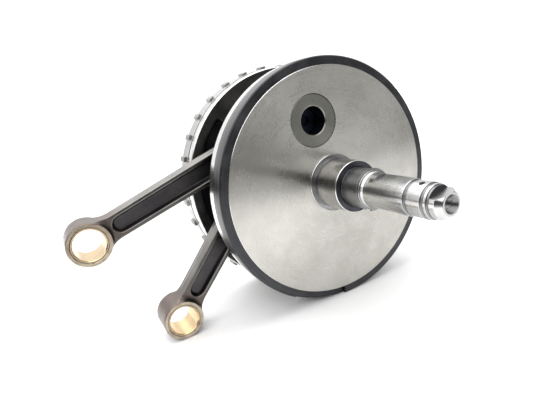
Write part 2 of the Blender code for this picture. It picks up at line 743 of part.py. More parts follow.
def fork_angle():
    """The fork rod leans until its small end lies level with the foot of the flywheels."""
    pin_height = THROW * sin(PIN_ANGLE)
    drop = pin_height + RIM_RADIUS - SMALL_END_RADIUS
    return pi + asin(drop / ROD_LENGTH)


for old in list(bpy.data.objects):
    bpy.data.objects.remove(old)
parts = new_collection("crankshaft")
cutters = new_collection("cutters")

frame = empty("crankshaft_frame")
frame.rotation_euler = (pi / 2, 0, 0)
crank_axis = empty("crank_axis", frame)
pin_place = polar(THROW, PIN_ANGLE)
pin_pivot = empty("crankpin_axis", crank_axis, pin_place, PIN_ANGLE)
fork_pivot = empty("fork_rod_pivot", frame, pin_place, fork_angle())
knife_pivot = empty("knife_rod_pivot", fork_pivot, (0, 0, 0), -ROD_SPREAD)

right_flywheel(crank_axis)
left_flywheel(crank_axis)
pinion_shaft(crank_axis)
sprocket_shaft(crank_axis)
shaft_rings(
    1,
    INNER_FACE_Z + RIGHT_THICKNESS,
    ("pinion_thrust_washer", "pinion_bearing_race", "pinion_retaining_ring"),
    crank_axis,
)
shaft_rings(
    -1,
    INNER_FACE_Z + LEFT_THICKNESS,
    ("sprocket_thrust_washer", "sprocket_bearing_race", "sprocket_retaining_ring"),
    crank_axis,
)
crankpin(pin_pivot)
side_washers(pin_pivot)
fork_rod(fork_pivot)
knife_rod(knife_pivot)
cage("fork_cage_right", FORK_SLOT_HALF, FORK_HALF_WIDTH, fork_pivot)
cage("fork_cage_left", -FORK_HALF_WIDTH, -FORK_SLOT_HALF, fork_pivot)
cage("knife_cage", -KNIFE_HALF_WIDTH, KNIFE_HALF_WIDTH, knife_pivot)
for obj in parts.objects:
    if obj.type == "MESH":
        finish_smooth(obj.data)
stand_on_origin(frame)
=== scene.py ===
"""Looks of the V-twin crankshaft: turned flywheels, ground shafts and forged rods on the frame.

Shapes are made in millimetres, in the parts' side view: x to the right, y up, and z along the crank
axis towards the pinion shaft, with z = 0 in the rods' mid-plane. place() scales them to metres,
stands them upright, sets them where the frame says and lets them ride on their body.
"""

from math import atan2, cos, pi, radians, sin, sqrt

import bmesh
import bpy
import numpy as np
from mathutils import Matrix, Vector
from mathutils.geometry import delaunay_2d_cdt

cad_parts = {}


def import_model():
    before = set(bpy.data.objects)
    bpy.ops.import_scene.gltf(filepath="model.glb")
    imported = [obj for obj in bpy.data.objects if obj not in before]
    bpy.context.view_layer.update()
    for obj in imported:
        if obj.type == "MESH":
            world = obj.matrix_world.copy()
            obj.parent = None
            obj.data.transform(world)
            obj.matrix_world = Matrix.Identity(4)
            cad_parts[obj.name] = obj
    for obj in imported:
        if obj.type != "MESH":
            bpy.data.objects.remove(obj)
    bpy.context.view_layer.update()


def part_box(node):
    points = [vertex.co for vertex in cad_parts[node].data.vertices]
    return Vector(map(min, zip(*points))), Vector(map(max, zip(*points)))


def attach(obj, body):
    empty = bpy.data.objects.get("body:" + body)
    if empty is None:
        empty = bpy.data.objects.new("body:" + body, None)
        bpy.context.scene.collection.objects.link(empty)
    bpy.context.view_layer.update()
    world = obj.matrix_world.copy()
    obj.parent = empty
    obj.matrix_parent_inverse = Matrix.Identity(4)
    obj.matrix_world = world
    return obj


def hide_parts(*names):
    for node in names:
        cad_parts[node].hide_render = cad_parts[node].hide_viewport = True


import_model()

# ---------------------------------------------------------------- sizes, in millimetres

GAP = 0.3  # between neighbouring pieces, so that they don't touch
CLEAR = 5.0  # how far a cutter stands out of what it cuts

RIM_RADIUS = 103.5
FACE_RADIUS = 96.3
INNER_FACE = 24.5
RIGHT_FACE = 48.0
LEFT_FACE = 52.5
EDGE_STEP = 0.6
RIM_CHAMFER = 0.9
BAND_WIDTH = 9.0
BAND_DEPTH = 0.35
SHAFT_SEAT = 19.0
POCKET_RADII = (42.0, 94.5)
POCKET_DEPTH = 7.0
POCKET_SPAN = (radians(32), radians(104))  # away from the crankpin, on either side
POCKET_RAMP = 3.2
POCKET_RINGS = 52
POCKET_FLOOR_FROM = 1.5  # depth from which the pocket's darker copy of the forging skin, painted shade, shows
NOTCH_SPAN = (radians(238.5), radians(268))
NOTCH_DEPTH = 3.5
NOTCH_STEPS = 48

TOOTH_PITCHES = 32
MISSING_TEETH = 2
TOOTH_SIZE = (2.3, 5.2, 10.5)  # height, width, length
TOOTH_ROOT = 4.0
TOOTH_BEVEL = 0.9
TOOTH_FIRST = -49.55
TOOTH_GAP_ANGLE = radians(266.4)

PIN_RADIUS = 21.1
PIN_HOLE = 11.4
PIN_BORE = 4.5
PIN_HOLE_DEPTH = 20.0
PIN_RECESS = 0.2
PIN_MOUTH = 0.8
ROLLER_RADIUS = 2.3
ROLLERS = 12
ROLLER_CIRCLE = PIN_RADIUS + GAP + ROLLER_RADIUS
RACE_INNER = ROLLER_CIRCLE + ROLLER_RADIUS + GAP
RACE_OUTER = RACE_INNER + 2.7
CAGE_HALF = 1.1
CAGE_EDGE = 1.4
CAGE_BAR = (2.0, 4.6)
HEXAGON_RADIUS = 5.2
HEXAGON_FLOOR = 1.5
PLUG_THICKNESS = 5.0

BIG_END_RADIUS = 35.0
BIG_BORE = 29.3
KNIFE_HALF_WIDTH = 11.4
FORK_HALF_WIDTH = 22.3
FORK_SLOT_HALF = 12.0
FORK_SLOT_RADIUS = 48.0
SIDE_WASHER_RADIUS = 33.0
SIDE_WASHER = 1.3
FORK_TAPER = (44.0, 74.0)  # from the big end's width to the beam's
KNIFE_TAPER = (38.0, 52.0)
FORK_POCKET_START = 78.0
KNIFE_POCKET_START = 50.0
POCKET_END_GAP = 3.6
POCKET_WALL = 2.6
BOSS_FILLET = 3.4
DRAFT = 0.35
FLASH = 0.22
FLASH_HALF = 0.15  # as a share of the rod's half thickness, as the levels are
FLASH_LEVELS = (0.75, 0.45, 0.2, 0.13, -0.13, -0.2, -0.45, -0.75)
EDGE_RADII = (0.6, 0.9)  # on the machined ends, and what the beam has more
EDGE_EASE = (0.5, 9.0)  # past the small end's edge
BEAM_HALF_HEIGHT = (11.9, 10.0)
BEAM_HALF = 7.75
WEB_HALF = 2.6
RAIL_WIDTH = 3.1
BEAM_FILLET = 26.0
SMALL_END_RADIUS = 16.5
SMALL_END_HALF = 14.0
SMALL_BORE = 13.6
SMALL_LIP = 0.4
ROD_GRID = 2.2
BUSH_INNER = 11.8
BUSH_OUTER = 13.4
BUSH_HALF = 13.6
BUSH_MOUTH = 0.7

RACE_RADIUS = 20.8
RACE_BORE = 15.8
WASHER_RADIUS = 24.4
WASHER_END = 1.8
RACE_END = 31.2
RACE_CHAMFERS = (1.6, 2.2, 0.45)  # inner end's depth and length, outer end's size
RING_AT = 48.6
RING_WIDTH = 1.6
RING_RADII = (13.6, 16.3)
RING_GAP_ANGLE = radians(246)
RING_GAP_HALF = 2.5
RING_GROOVE = 2.2
NECK_RADIUS = 15.4
FLAT_SPAN = (61.5, 92.6)
FLAT_HEIGHT = 10.9
END_FLAT_START = 114.0
END_FLAT_HEIGHT = 6.9
PINION_LENGTH = 122.5
PINION_HOLE = 5.4
PINION_HOLE_DEPTH = 24.0
OIL_HOLE_AT = 103.0
OIL_HOLE_RADIUS = 1.6
OIL_HOLE_MOUTH = 0.5
OIL_HOLE_TURN = radians(4)
PINION_PITCH = 1.4
THREAD_ROWS = 8  # rings of points to one turn of a thread
THREAD_STEPS = 64
THREAD_DEPTH = 0.55  # as a share of the pitch
THREAD_CREST = 0.35  # as a share of the thread's depth
THREAD_MOUTH = 0.9
DRILL_POINT = 0.6  # as a share of the hole's radius
FAR = 30.0  # reach of a cutter that runs out of the shaft
SPROCKET_LENGTH = 104.0
SPROCKET_HOLE = 8.0
SPROCKET_HOLE_DEPTH = 34.0
SPROCKET_PITCH = 1.5
SPLINES = 20
SPLINE_SPAN = (64.0, 100.0)
SPLINE_RADIUS = 15.6
SPLINE_DEPTH = 1.9
SPLINE_REACH = 2.2  # how far a tooth reaches into the shaft
SPLINE_BEVEL = 0.35

# The pinion shaft beyond its retaining ring: radius, distance from the face, finish up to the next
PINION_STEPS = [(15.2, 50.8, 0), (15.2, 51.6, 1), (14.0, 52.2, 0), (13.3, 54.0, 0), (13.0, 57.0, 0)]
PINION_STEPS += [(13.0, 93.4, 1), (11.7, 93.9, 1), (11.7, 95.6, 0), (12.5, 96.1, 2), (12.5, 107.8, 1)]
PINION_STEPS += [(11.4, 108.4, 1), (11.4, 109.6, 0), (11.9, 110.1, 0), (11.9, 112.0, 1)]
PINION_STEPS += [(10.8, 112.6, 1), (10.8, 113.7, 0), (11.1, 114.2, 0), (11.1, 118.5, 0)]
PINION_STEPS += [(7.8, PINION_LENGTH, 2)]

LARGE_STEPS = 288
SHAFT_STEPS = 144
PIN_STEPS = 128
CAGE_STEPS = 96
SHARP_ANGLE = radians(34)

# ---------------------------------------------------------------- studio values

CAMERA_OFFSET = Vector((-0.2054, -0.3531, 0.0878))
CAMERA_RIGHT = Vector((0.8674, -0.4678, -0.1693))
CAMERA_UP = Vector((0.2709, 0.1586, 0.9494))
LENS = 28.8
SENSOR = 36

FLOOR_RADIUS = 4000.0
PAPER = (0.93, 0.93, 0.93)
# painted shade: the floor's colour greys from PAPER to the first value towards the front of the
# studio, over the span of y, in metres, given by the second
FRONT_PAINTED_SHADE = (0.17, 0.17, 0.17)
PAINTED_SHADE_SPAN = (-0.28, -0.58)

# Each light: from and to along its axis, then its strength at either end
ROOM = (0.1, 0.9, 0.085, 0.55)
WINDOW = (0.36, 0.50, 0.0, 1.9)
WINDOW_SIDE = (0.30, 0.50, 1.0, 0.15)
BACK = (-0.30, 0.35, 0.0, 1.0)
WALL = (0.3, 0.9, 1.12, 0.9)
CEILING = (0.74, 0.86, 0.0, 1.0)
CEILING_WAY = Vector((0.0, 0.25, 0.95)).normalized()

# ---------------------------------------------------------------- places, from the frame


def middle(node):
    low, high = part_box(node)
    return (low + high) / 2


rim_middle = middle("right_flywheel")
pin_middle = middle("crankpin")
mid_plane = middle("knife_rod").y
CRANK_PLACE = Vector((rim_middle.x, mid_plane, rim_middle.z))
PIN_PLACE = Vector((pin_middle.x, mid_plane, pin_middle.z))


def angle_from(start, end):
    return atan2(end.z - start.z, end.x - start.x)


PIN_ANGLE = angle_from(CRANK_PLACE, PIN_PLACE)
FORK_ANGLE = angle_from(PIN_PLACE, middle("fork_bushing"))
KNIFE_ANGLE = angle_from(PIN_PLACE, middle("knife_bushing"))
THROW = (PIN_PLACE - CRANK_PLACE).length * 1000
PIN_CENTRE = (THROW * cos(PIN_ANGLE), THROW * sin(PIN_ANGLE))
ROD_LENGTH = (middle("knife_bushing") - PIN_PLACE).length * 1000

# ---------------------------------------------------------------- materials


class Surface:
    """A metal whose pattern is put together from nodes."""

    def __init__(self, name, colour, roughness, **sockets):
        self.material = bpy.data.materials.new(name)
        self.material.use_nodes = True
        self.material.diffuse_color = (*colour, 1)
        self.tree = self.material.node_tree
        self.shader = self.tree.nodes["Principled BSDF"]
        self.colour = (*colour, 1)
        settings = {"Base Color": self.colour, "Roughness": roughness, "Metallic": 1.0}
        for socket, value in {**settings, **sockets}.items():
            self.shader.inputs[socket].default_value = value

    def add(self, kind, inputs, output=0, **settings):
        node = self.tree.nodes.new(kind)
        for name, value in settings.items():
            setattr(node, name, value)
        for socket, value in inputs.items():
            if isinstance(value, bpy.types.NodeSocket):
                self.tree.links.new(value, node.inputs[socket])
            else:
                node.inputs[socket].default_value = value
        return node.outputs[output]

    def into(self, socket, value):
        self.tree.links.new(value, self.shader.inputs[socket])

    def point(self, offset=(0, 0, 0), turn=0.0):
        """The point on the piece in metres, in a frame turned by an angle and moved by an offset."""
        here = self.add("ShaderNodeTexCoord", {}, output="Object")
        if turn:
            inputs = {"Vector": here, "Angle": -turn}
            here = self.add("ShaderNodeVectorRotate", inputs, rotation_type="Z_AXIS")
        return self.add("ShaderNodeVectorMath", {0: here, 1: offset}, operation="SUBTRACT")

    def math(self, operation, *values):
        return self.add("ShaderNodeMath", dict(enumerate(values)), operation=operation)

    def xyz(self, vector):
        self.add("ShaderNodeSeparateXYZ", {0: vector})
        return self.tree.nodes[-1].outputs

    def noise(self, vector, scale, detail=3.0, roughness=0.55):
        inputs = {"Vector": vector, "Scale": scale, "Detail": detail, "Roughness": roughness}
        return self.add("ShaderNodeTexNoise", inputs)

    def spread(self, value, low, high, to_low=0.0, to_high=1.0):
        """value between low and high, eased into to_low and to_high."""
        inputs = {0: value, 1: low, 2: high, 3: to_low, 4: to_high}
        return self.add("ShaderNodeMapRange", inputs, interpolation_type="SMOOTHSTEP")

    def mix(self, factor, a, b):
        inputs = {0: factor, 6: a, 7: b}
        return self.add("ShaderNodeMix", inputs, output=2, data_type="RGBA")

    def streaks(self, vector, frequency, sweep=2.0, detail=3.0):
        """Noise drawn out into rings about the z axis, as a lathe or a grinder leaves it."""
        flat = self.add("ShaderNodeVectorMath", {0: vector, 1: (1, 1, 0)}, operation="MULTIPLY")
        radius = self.add("ShaderNodeVectorMath", {0: flat}, output=1, operation="LENGTH")
        way = self.add("ShaderNodeVectorMath", {0: flat}, operation="NORMALIZE")
        way = self.xyz(way)
        height = self.xyz(vector)[2]
        across = self.math("MULTIPLY", self.math("ADD", radius, height), frequency)
        round_x = self.math("MULTIPLY", way[0], sweep)
        round_y = self.math("MULTIPLY", way[1], sweep)
        drawn = self.add("ShaderNodeCombineXYZ", {0: across, 1: round_x, 2: round_y})
        return self.noise(drawn, 1.0, detail)

    def bump(self, height, distance, normal=None):
        inputs = {"Height": height, "Distance": distance, "Strength": 1.0}
        if normal:
            inputs["Normal"] = normal
        return self.add("ShaderNodeBump", inputs, output="Normal")

    def round_tangent(self):
        """Reflections drawn out across the rings that the tool left."""
        tangent = self.add("ShaderNodeTangent", {}, direction_type="RADIAL", axis="Z")
        self.into("Tangent", tangent)
        self.shader.inputs["Anisotropic Rotation"].default_value = 0.25


    def over(self, tone, colour, value, low, high, most=1.0):
        """tone, with a colour laid over it by up to most as value goes from low to high."""
        if isinstance(tone, tuple):
            tone = (*tone, 1)
        return self.mix(self.spread(value, low, high, 0.0, most), tone, (*colour, 1))

    def done(self, tone, roughness, normal, ringed=True):
        """The finished material; a ringed one has the drawn-out gloss of a turned or ground piece."""
        self.into("Base Color", tone)
        self.into("Roughness", roughness)
        self.into("Normal", normal)
        if ringed:
            self.round_tangent()
        return self.material


def turned_face():
    """The flywheel's outer face: faced on a lathe, then handled."""
    s = Surface("turned_face", (0.66, 0.645, 0.60), 0.28, Anisotropic=0.94)
    point = s.point()
    cloud = s.noise(point, 22.0, 4.0)
    blotch = s.noise(point, 75.0, 5.0, 0.65)
    lines = s.streaks(point, 2600.0)
    tone = s.over((0.575, 0.563, 0.525), (0.485, 0.472, 0.435), cloud, 0.35, 0.68)
    tone = s.over(tone, (0.40, 0.385, 0.35), blotch, 0.52, 0.72, 0.22)
    tone = s.over(tone, (0.62, 0.61, 0.575), lines, 0.35, 0.7, 0.25)
    handled = s.spread(blotch, 0.35, 0.7, 0.25, 0.29)
    rough = s.math("ADD", handled, s.spread(lines, 0.3, 0.7, 0.0, 0.04))
    scuff = s.noise(point, 160.0, 3.0)
    normal = s.bump(lines, 0.0000010)
    return s.done(tone, rough, s.bump(scuff, 0.0000004, normal))


def dark_rim():
    """The rim's blackened edge and outside, with faint tool marks."""
    s = Surface("dark_rim", (0.085, 0.088, 0.097), 0.40, Anisotropic=0.35)
    point = s.point()
    cloud = s.noise(point, 55.0, 4.0)
    lines = s.streaks(point, 1500.0)
    tone = s.over((0.050, 0.051, 0.056), (0.074, 0.075, 0.079), cloud, 0.35, 0.7)
    tone = s.over(tone, (0.12, 0.12, 0.125), lines, 0.4, 0.75, 0.4)
    return s.done(tone, s.spread(cloud, 0.3, 0.7, 0.34, 0.48), s.bump(lines, 0.000004))


def chatter_band():
    """The rim's outside: matt grey, with one row of the small even marks of its grinding."""
    s = Surface("chatter_band", (0.20, 0.20, 0.205), 0.38, Anisotropic=0.3)
    point = s.point()
    x, y, z = s.xyz(point)
    ticks = s.math("SINE", s.math("MULTIPLY", s.math("ARCTAN2", y, x), 430.0))
    height = s.math("ABSOLUTE", z)
    row = s.math("MULTIPLY", s.spread(height, 0.0350, 0.0362), s.spread(height, 0.0405, 0.0388))
    ticks = s.math("MULTIPLY", s.spread(ticks, 0.1, 0.9), row)
    cloud = s.noise(point, 60.0, 4.0)
    lines = s.streaks(point, 1800.0)
    tone = s.over((0.095, 0.095, 0.099), (0.135, 0.135, 0.138), cloud, 0.35, 0.7)
    tone = s.over(tone, (0.18, 0.18, 0.183), lines, 0.35, 0.75, 0.5)
    tone = s.mix(s.math("MULTIPLY", ticks, 0.45), tone, (0.42, 0.42, 0.42, 1))
    normal = s.bump(ticks, 0.00001, s.bump(lines, 0.000004))
    return s.done(tone, s.spread(cloud, 0.3, 0.7, 0.32, 0.44), normal)


def times(colour, share):
    return tuple(min(1.0, c * share) for c in colour)


def ground_steel(name, colour, roughness, frequency=3000.0, depth=0.0000012):
    """Bright steel, ground round and round, with a little handling."""
    s = Surface(name, colour, roughness, Anisotropic=0.45)
    point = s.point()
    lines = s.streaks(point, frequency)
    cloud = s.noise(point, 90.0, 4.0)
    spots = s.noise(point, 600.0, 3.0)
    tone = s.over(colour, times(colour, 0.84), cloud, 0.35, 0.7)
    tone = s.over(tone, times(colour, 1.07), lines, 0.35, 0.7, 0.5)
    tone = s.over(tone, times(colour, 0.6), spots, 0.66, 0.74, 0.25)
    handled = s.spread(cloud, 0.3, 0.7, roughness * 0.8, roughness * 1.25)
    rough = s.math("ADD", handled, s.spread(lines, 0.3, 0.7, 0.0, 0.05))
    return s.done(tone, rough, s.bump(lines, depth))


def forged_skin(name, colour, light, roughness, grain=0.00002):
    """Dark forging skin: fine shot-blasted grain under scale."""
    s = Surface(name, colour, roughness)
    point = s.point()
    cloud = s.noise(point, 45.0, 5.0)
    grit = s.noise(point, 1500.0, 4.0, 0.6)
    pits = s.noise(point, 420.0, 3.0)
    tone = s.over(colour, light, cloud, 0.32, 0.7)
    tone = s.over(tone, times(colour, 0.5), pits, 0.6, 0.75, 0.5)
    rough = s.spread(cloud, 0.3, 0.7, roughness * 0.85, roughness * 1.15)
    height = s.math("ADD", grit, s.math("MULTIPLY", pits, 1.5))
    return s.done(tone, rough, s.bump(height, grain), ringed=False)


def rod_steel(name, turn, dark, light, brushed, heated):
    """A rod's satin steel, belt-polished along the beam and browned by heat at the small end."""
    s = Surface(name, dark, 0.33)
    point = s.point(turn=turn)
    cloud = s.noise(point, 70.0, 4.0)
    drawn = s.add("ShaderNodeVectorMath", {0: point, 1: (60.0, 900.0, 900.0)}, operation="MULTIPLY")
    belt = s.noise(drawn, 1.0, 3.0)
    grain = s.noise(point, 1300.0, 3.0)
    tone = s.over(dark, light, cloud, 0.35, 0.7)
    tone = s.over(tone, brushed, belt, 0.4, 0.7, 0.4)
    heat = s.math("ADD", s.xyz(point)[0], s.math("MULTIPLY", cloud, 0.02))
    tone = s.over(tone, heated, heat, 0.160, 0.196, 0.8)
    normal = s.bump(grain, 0.000006, s.bump(belt, 0.000004))
    return s.done(tone, s.spread(cloud, 0.3, 0.7, 0.27, 0.40), normal, ringed=False)


def rod_finishes(turn):
    """Edges, pocket, small end faces and rails of a rod that lies at an angle; lighter steel on the
    edges is painted highlight, darker steel on the rails painted shade.
    """
    # edge: lighter copy of the rod steel, a painted highlight on the rounded edges, walls, pocket lip
    # and big end; rail: darker copy, painted shade on the flat rails
    edge = (0.185, 0.178, 0.168), (0.24, 0.232, 0.22), (0.30, 0.29, 0.275), (0.145, 0.108, 0.092)
    rail = (0.085, 0.081, 0.077), (0.12, 0.115, 0.108), (0.16, 0.153, 0.144), (0.13, 0.10, 0.086)
    return [
        rod_steel("rod_steel_painted_highlight", turn, *edge),
        ROD_POCKET,
        small_end_face(turn),
        rod_steel("rod_steel_painted_shade", turn, *rail),
    ]


def small_end_face(turn):
    """The small end's faced side, with a brassy heat tint."""
    s = Surface("small_end_face", (0.46, 0.40, 0.32), 0.34)
    point = s.point((ROD_LENGTH / 1000, 0, 0), turn)
    lines = s.streaks(point, 2500.0)
    cloud = s.noise(point, 130.0, 4.0)
    spots = s.noise(point, 500.0, 3.0)
    tone = s.over((0.44, 0.375, 0.29), (0.31, 0.25, 0.19), cloud, 0.35, 0.68)
    tone = s.over(tone, (0.52, 0.45, 0.36), lines, 0.35, 0.7, 0.4)
    tone = s.over(tone, (0.18, 0.13, 0.10), spots, 0.62, 0.72, 0.45)
    return s.done(tone, s.spread(cloud, 0.3, 0.7, 0.28, 0.42), s.bump(lines, 0.000002), ringed=False)


def floor_paint():
    """White paper, greyed towards the front of the studio by painted shade."""
    s = Surface("studio_floor", PAPER, 0.8, Metallic=0.0)
    # painted shade: the floor greys towards the front, in place of the light falling off there
    s.into("Base Color", s.over(PAPER, FRONT_PAINTED_SHADE, s.xyz(s.point())[1], *PAINTED_SHADE_SPAN))
    return s.material


FACE = turned_face()
RIM = dark_rim()
BAND = chatter_band()
STRIPE = ground_steel("polished_band", (0.80, 0.80, 0.79), 0.17)
SKIN = forged_skin("flywheel_forging", (0.075, 0.074, 0.073), (0.120, 0.117, 0.113), 0.50)
# painted shade: a darker copy of the forging skin for the deep part of the pocket
POCKET = forged_skin("flywheel_pocket_painted_shade", (0.026, 0.026, 0.031), (0.042, 0.041, 0.048), 0.55)
GROUND = ground_steel("ground_shaft", (0.66, 0.66, 0.655), 0.14)
TURNED = ground_steel("turned_shaft", (0.60, 0.60, 0.595), 0.20, 2000.0, 0.000004)
# dull steel for the necks, tapped holes, flats' end walls and retaining rings; on the thrust washer's
# face towards the race it is painted shade
NECK = ground_steel("dull_steel_and_painted_shade", (0.27, 0.27, 0.275), 0.30)
TOOTH = ground_steel("milled_tooth", (0.36, 0.36, 0.35), 0.34)
MILLED = ground_steel("milled_flat", (0.50, 0.50, 0.495), 0.26)
RACE = ground_steel("race_steel", (0.46, 0.455, 0.44), 0.14)
PIN = ground_steel("crankpin_steel", (0.30, 0.30, 0.265), 0.30)
# painted shade: a near-black colour for the bore mouth round the crankpin, the oil hole, the end
# flat's step wall, the retaining ring's gap and the race's outer end face
NEAR_BLACK_SHADE = ground_steel("near_black_painted_shade", (0.075, 0.077, 0.085), 0.36)
# painted shade: a near-black bluish colour for the inside of the crankpin's bore and its plugs
HOLE = ground_steel("dark_bore_painted_shade", (0.030, 0.033, 0.052), 0.34)
BRONZE = ground_steel("bushing_bronze", (0.80, 0.60, 0.34), 0.18)
BUSH_FACE = ground_steel("bushing_face", (0.46, 0.385, 0.28), 0.30)
ROD_POCKET = forged_skin("rod_pocket", (0.060, 0.057, 0.060), (0.088, 0.083, 0.085), 0.40)

# ---------------------------------------------------------------- mesh work


def spin(angle):
    return Matrix.Rotation(angle, 4, "Z")


def vector_of(point):
    return Vector(point[:2])


def eased(section, size=0.35, steps=3):
    """A closed section with its corners rounded off, and a support point on each side of them.

    A section's points are (radius, height, finish), and the finish holds as far as the next point."""
    result = []
    ring = zip(section[-1:] + section[:-1], section, section[1:] + section[:1])
    for before, corner, after in ring:
        here = vector_of(corner)
        back = vector_of(before) - here
        ahead = vector_of(after) - here
        if here.x < 0.001:
            result.append(corner)
            continue
        reach = min(size, 0.4 * back.length, 0.4 * ahead.length)
        back = back.normalized() * reach
        ahead = ahead.normalized() * reach
        result.append((*(here + back * 1.2), before[2]))
        for i in range(steps + 1):
            t = i / steps
            bend = here + back * (1 - t) ** 2 + ahead * t**2
            result.append((*bend, corner[2] if t > 0.5 else before[2]))
        result.append((*(here + ahead * 1.2), corner[2]))
    return result


def finished(name, bm, materials, side=1):
    """An object, in metres, from a bmesh in millimetres. side = -1 mirrors it across z = 0."""
    if side < 0:
        bmesh.ops.scale(bm, vec=(1, 1, -1), verts=bm.verts)
    bmesh.ops.remove_doubles(bm, verts=bm.verts, dist=0.0005)
    bmesh.ops.recalc_face_normals(bm, faces=bm.faces)
    mesh = bpy.data.meshes.new(name)
    bm.to_mesh(mesh)
    bm.free()
    mesh.transform(Matrix.Scale(0.001, 4))
    for material in materials:
        mesh.materials.append(material)
    mesh.shade_smooth()
    mesh.set_sharp_from_angle(angle=SHARP_ANGLE)
    obj = bpy.data.objects.new(name, mesh)
    bpy.context.scene.collection.objects.link(obj)
    return obj


def lathe_rings(bm, section, steps):
    """Rings of vertices, one for each point of a closed section, joined by faces."""
    rings = []
    for radius, height, _ in section:
        turns = [2 * pi * i / steps for i in range(steps)]
        rings.append([bm.verts.new((radius * cos(t), radius * sin(t), height)) for t in turns])
    for (_, _, finish), ring, following in zip(section, rings, rings[1:] + rings[:1]):
        for i in range(steps):
            j = (i + 1) % steps
            face = bm.faces.new((ring[i], ring[j], following[j], following[i]))
            face.material_index = finish


def turned(name, section, materials, steps=SHAFT_STEPS, ease=0.35, side=1):
    """A turned solid about z. side = -1 builds it towards the sprocket shaft."""
    full = [(p[0], p[1], p[2] if len(p) > 2 else 0) for p in section]
    bm = bmesh.new()
    lathe_rings(bm, eased(full, ease) if ease else full, steps)
    return finished(name, bm, materials, side)


def block(name, low, high, materials, turn=0.0):
    """A box with its own material on the two sides that look along z."""
    bm = bmesh.new()
    size = [b - a for a, b in zip(low, high)]
    centre = [(a + b) / 2 for a, b in zip(low, high)]
    where = spin(turn) @ Matrix.Translation(centre) @ Matrix.Diagonal((*size, 1))
    bmesh.ops.create_cube(bm, size=1, matrix=where)
    for side in bm.faces:
        side.material_index = int(abs(side.normal.z) > 0.5)
    return finished(name, bm, materials)


def prism(name, outline, z0, z1, material):
    """A flat outline of (x, y) points, extruded between two heights."""
    bm = bmesh.new()
    low = [bm.verts.new((x, y, z0)) for x, y in outline]
    high = [bm.verts.new((x, y, z1)) for x, y in outline]
    bm.faces.new(low)
    bm.faces.new(high)
    count = len(outline)
    for i in range(count):
        j = (i + 1) % count
        bm.faces.new((low[i], low[j], high[j], high[i]))
    return finished(name, bm, [material])


def cut(obj, cutter, operation="DIFFERENCE"):
    """Applies a Boolean and removes the cutter. Cut faces keep the cutter's material."""
    modifier = obj.modifiers.new("cut", "BOOLEAN")
    modifier.operation = operation
    modifier.object = cutter
    modifier.solver = "EXACT"
    modifier.material_mode = "TRANSFER"
    bpy.context.view_layer.update()
    graph = bpy.context.evaluated_depsgraph_get()
    mesh = bpy.data.meshes.new_from_object(obj.evaluated_get(graph), depsgraph=graph)
    obj.modifiers.clear()
    old = obj.data
    obj.data = mesh
    mesh.name = obj.name
    bpy.data.meshes.remove(old)
    bpy.data.objects.remove(cutter)
    mesh.shade_smooth()
    mesh.set_sharp_from_angle(angle=SHARP_ANGLE)
    return obj


def place(obj, body, nodes, origin=CRANK_PLACE, turn=0.0):
    """Stands a piece upright at its place in the row frame, and lets it ride there for its nodes."""
    upright = Matrix.Rotation(pi / 2, 4, "X")
    obj.matrix_world = Matrix.Translation(origin) @ upright @ spin(turn)
    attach(obj, body)
    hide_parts(*nodes)


def ring_section(inner, outer, z0, z1):
    return [(inner, z0), (outer, z0), (outer, z1), (inner, z1)]


def arc(centre, radius, start, end, steps):
    turns = [start + (end - start) * i / steps for i in range(steps + 1)]
    return [(centre[0] + radius * cos(t), centre[1] + radius * sin(t)) for t in turns]


def eased_step(value, low, high):
    """0 below low, 1 above high and eased between, for numbers and for arrays."""
    share = np.clip((value - low) / (high - low), 0, 1)
    return share * share * (3 - 2 * share)


# ---------------------------------------------------------------- flywheels

FACED, EDGED, SIDE, POLISHED, FORGED, PAINTED_SHADE_POCKET = range(6)  # a flywheel's materials


def pocket_depth(radius, angle):
    """How deep the lightening pocket is at a point of the inner face."""
    away = abs((angle - PIN_ANGLE + pi) % (2 * pi) - pi)
    along = away * radius
    start, end = (a * radius for a in POCKET_SPAN)
    inner, outer = POCKET_RADII
    share = eased_step(radius, inner, inner + POCKET_RAMP) * eased_step(outer - radius, 0, POCKET_RAMP)
    share *= eased_step(along, start, start + POCKET_RAMP) * eased_step(end - along, 0, POCKET_RAMP)
    return POCKET_DEPTH * share


def flywheel_section(face):
    """Section of a flywheel from its outer face round the rim to the inner face."""
    edge = face - EDGE_STEP
    band = INNER_FACE + BAND_WIDTH
    low = RIM_RADIUS - BAND_DEPTH
    groove = low - 0.25
    section = [
        (SHAFT_SEAT + GAP, face, FACED),
        (FACE_RADIUS - 0.25, face, POLISHED),
        (FACE_RADIUS, face - 0.25, EDGED),
        (FACE_RADIUS + 0.3, edge, EDGED),
        (RIM_RADIUS - RIM_CHAMFER, edge, EDGED),
        (RIM_RADIUS, edge - RIM_CHAMFER, SIDE),
        (RIM_RADIUS, band + 0.9, EDGED),
        (groove, band + 0.6, EDGED),
        (groove, band + 0.1, EDGED),
        (low, band - 0.2, POLISHED),
        (low, INNER_FACE + RIM_CHAMFER, POLISHED),
        (low - RIM_CHAMFER, INNER_FACE, FORGED),
        (SHAFT_SEAT + GAP, INNER_FACE, SIDE),
    ]
    return eased(section, 0.3)


def inner_face_rings(section):
    """The section with rings of points added across the inner face, for the pockets."""
    result = []
    for point, after in zip(section, section[1:] + section[:1]):
        result.append(point)
        span = point[0] - after[0]
        if span > RIM_RADIUS / 2:
            shares = [i / POCKET_RINGS for i in range(1, POCKET_RINGS)]
            result += [(point[0] - span * share, INNER_FACE, FORGED) for share in shares]
    return result


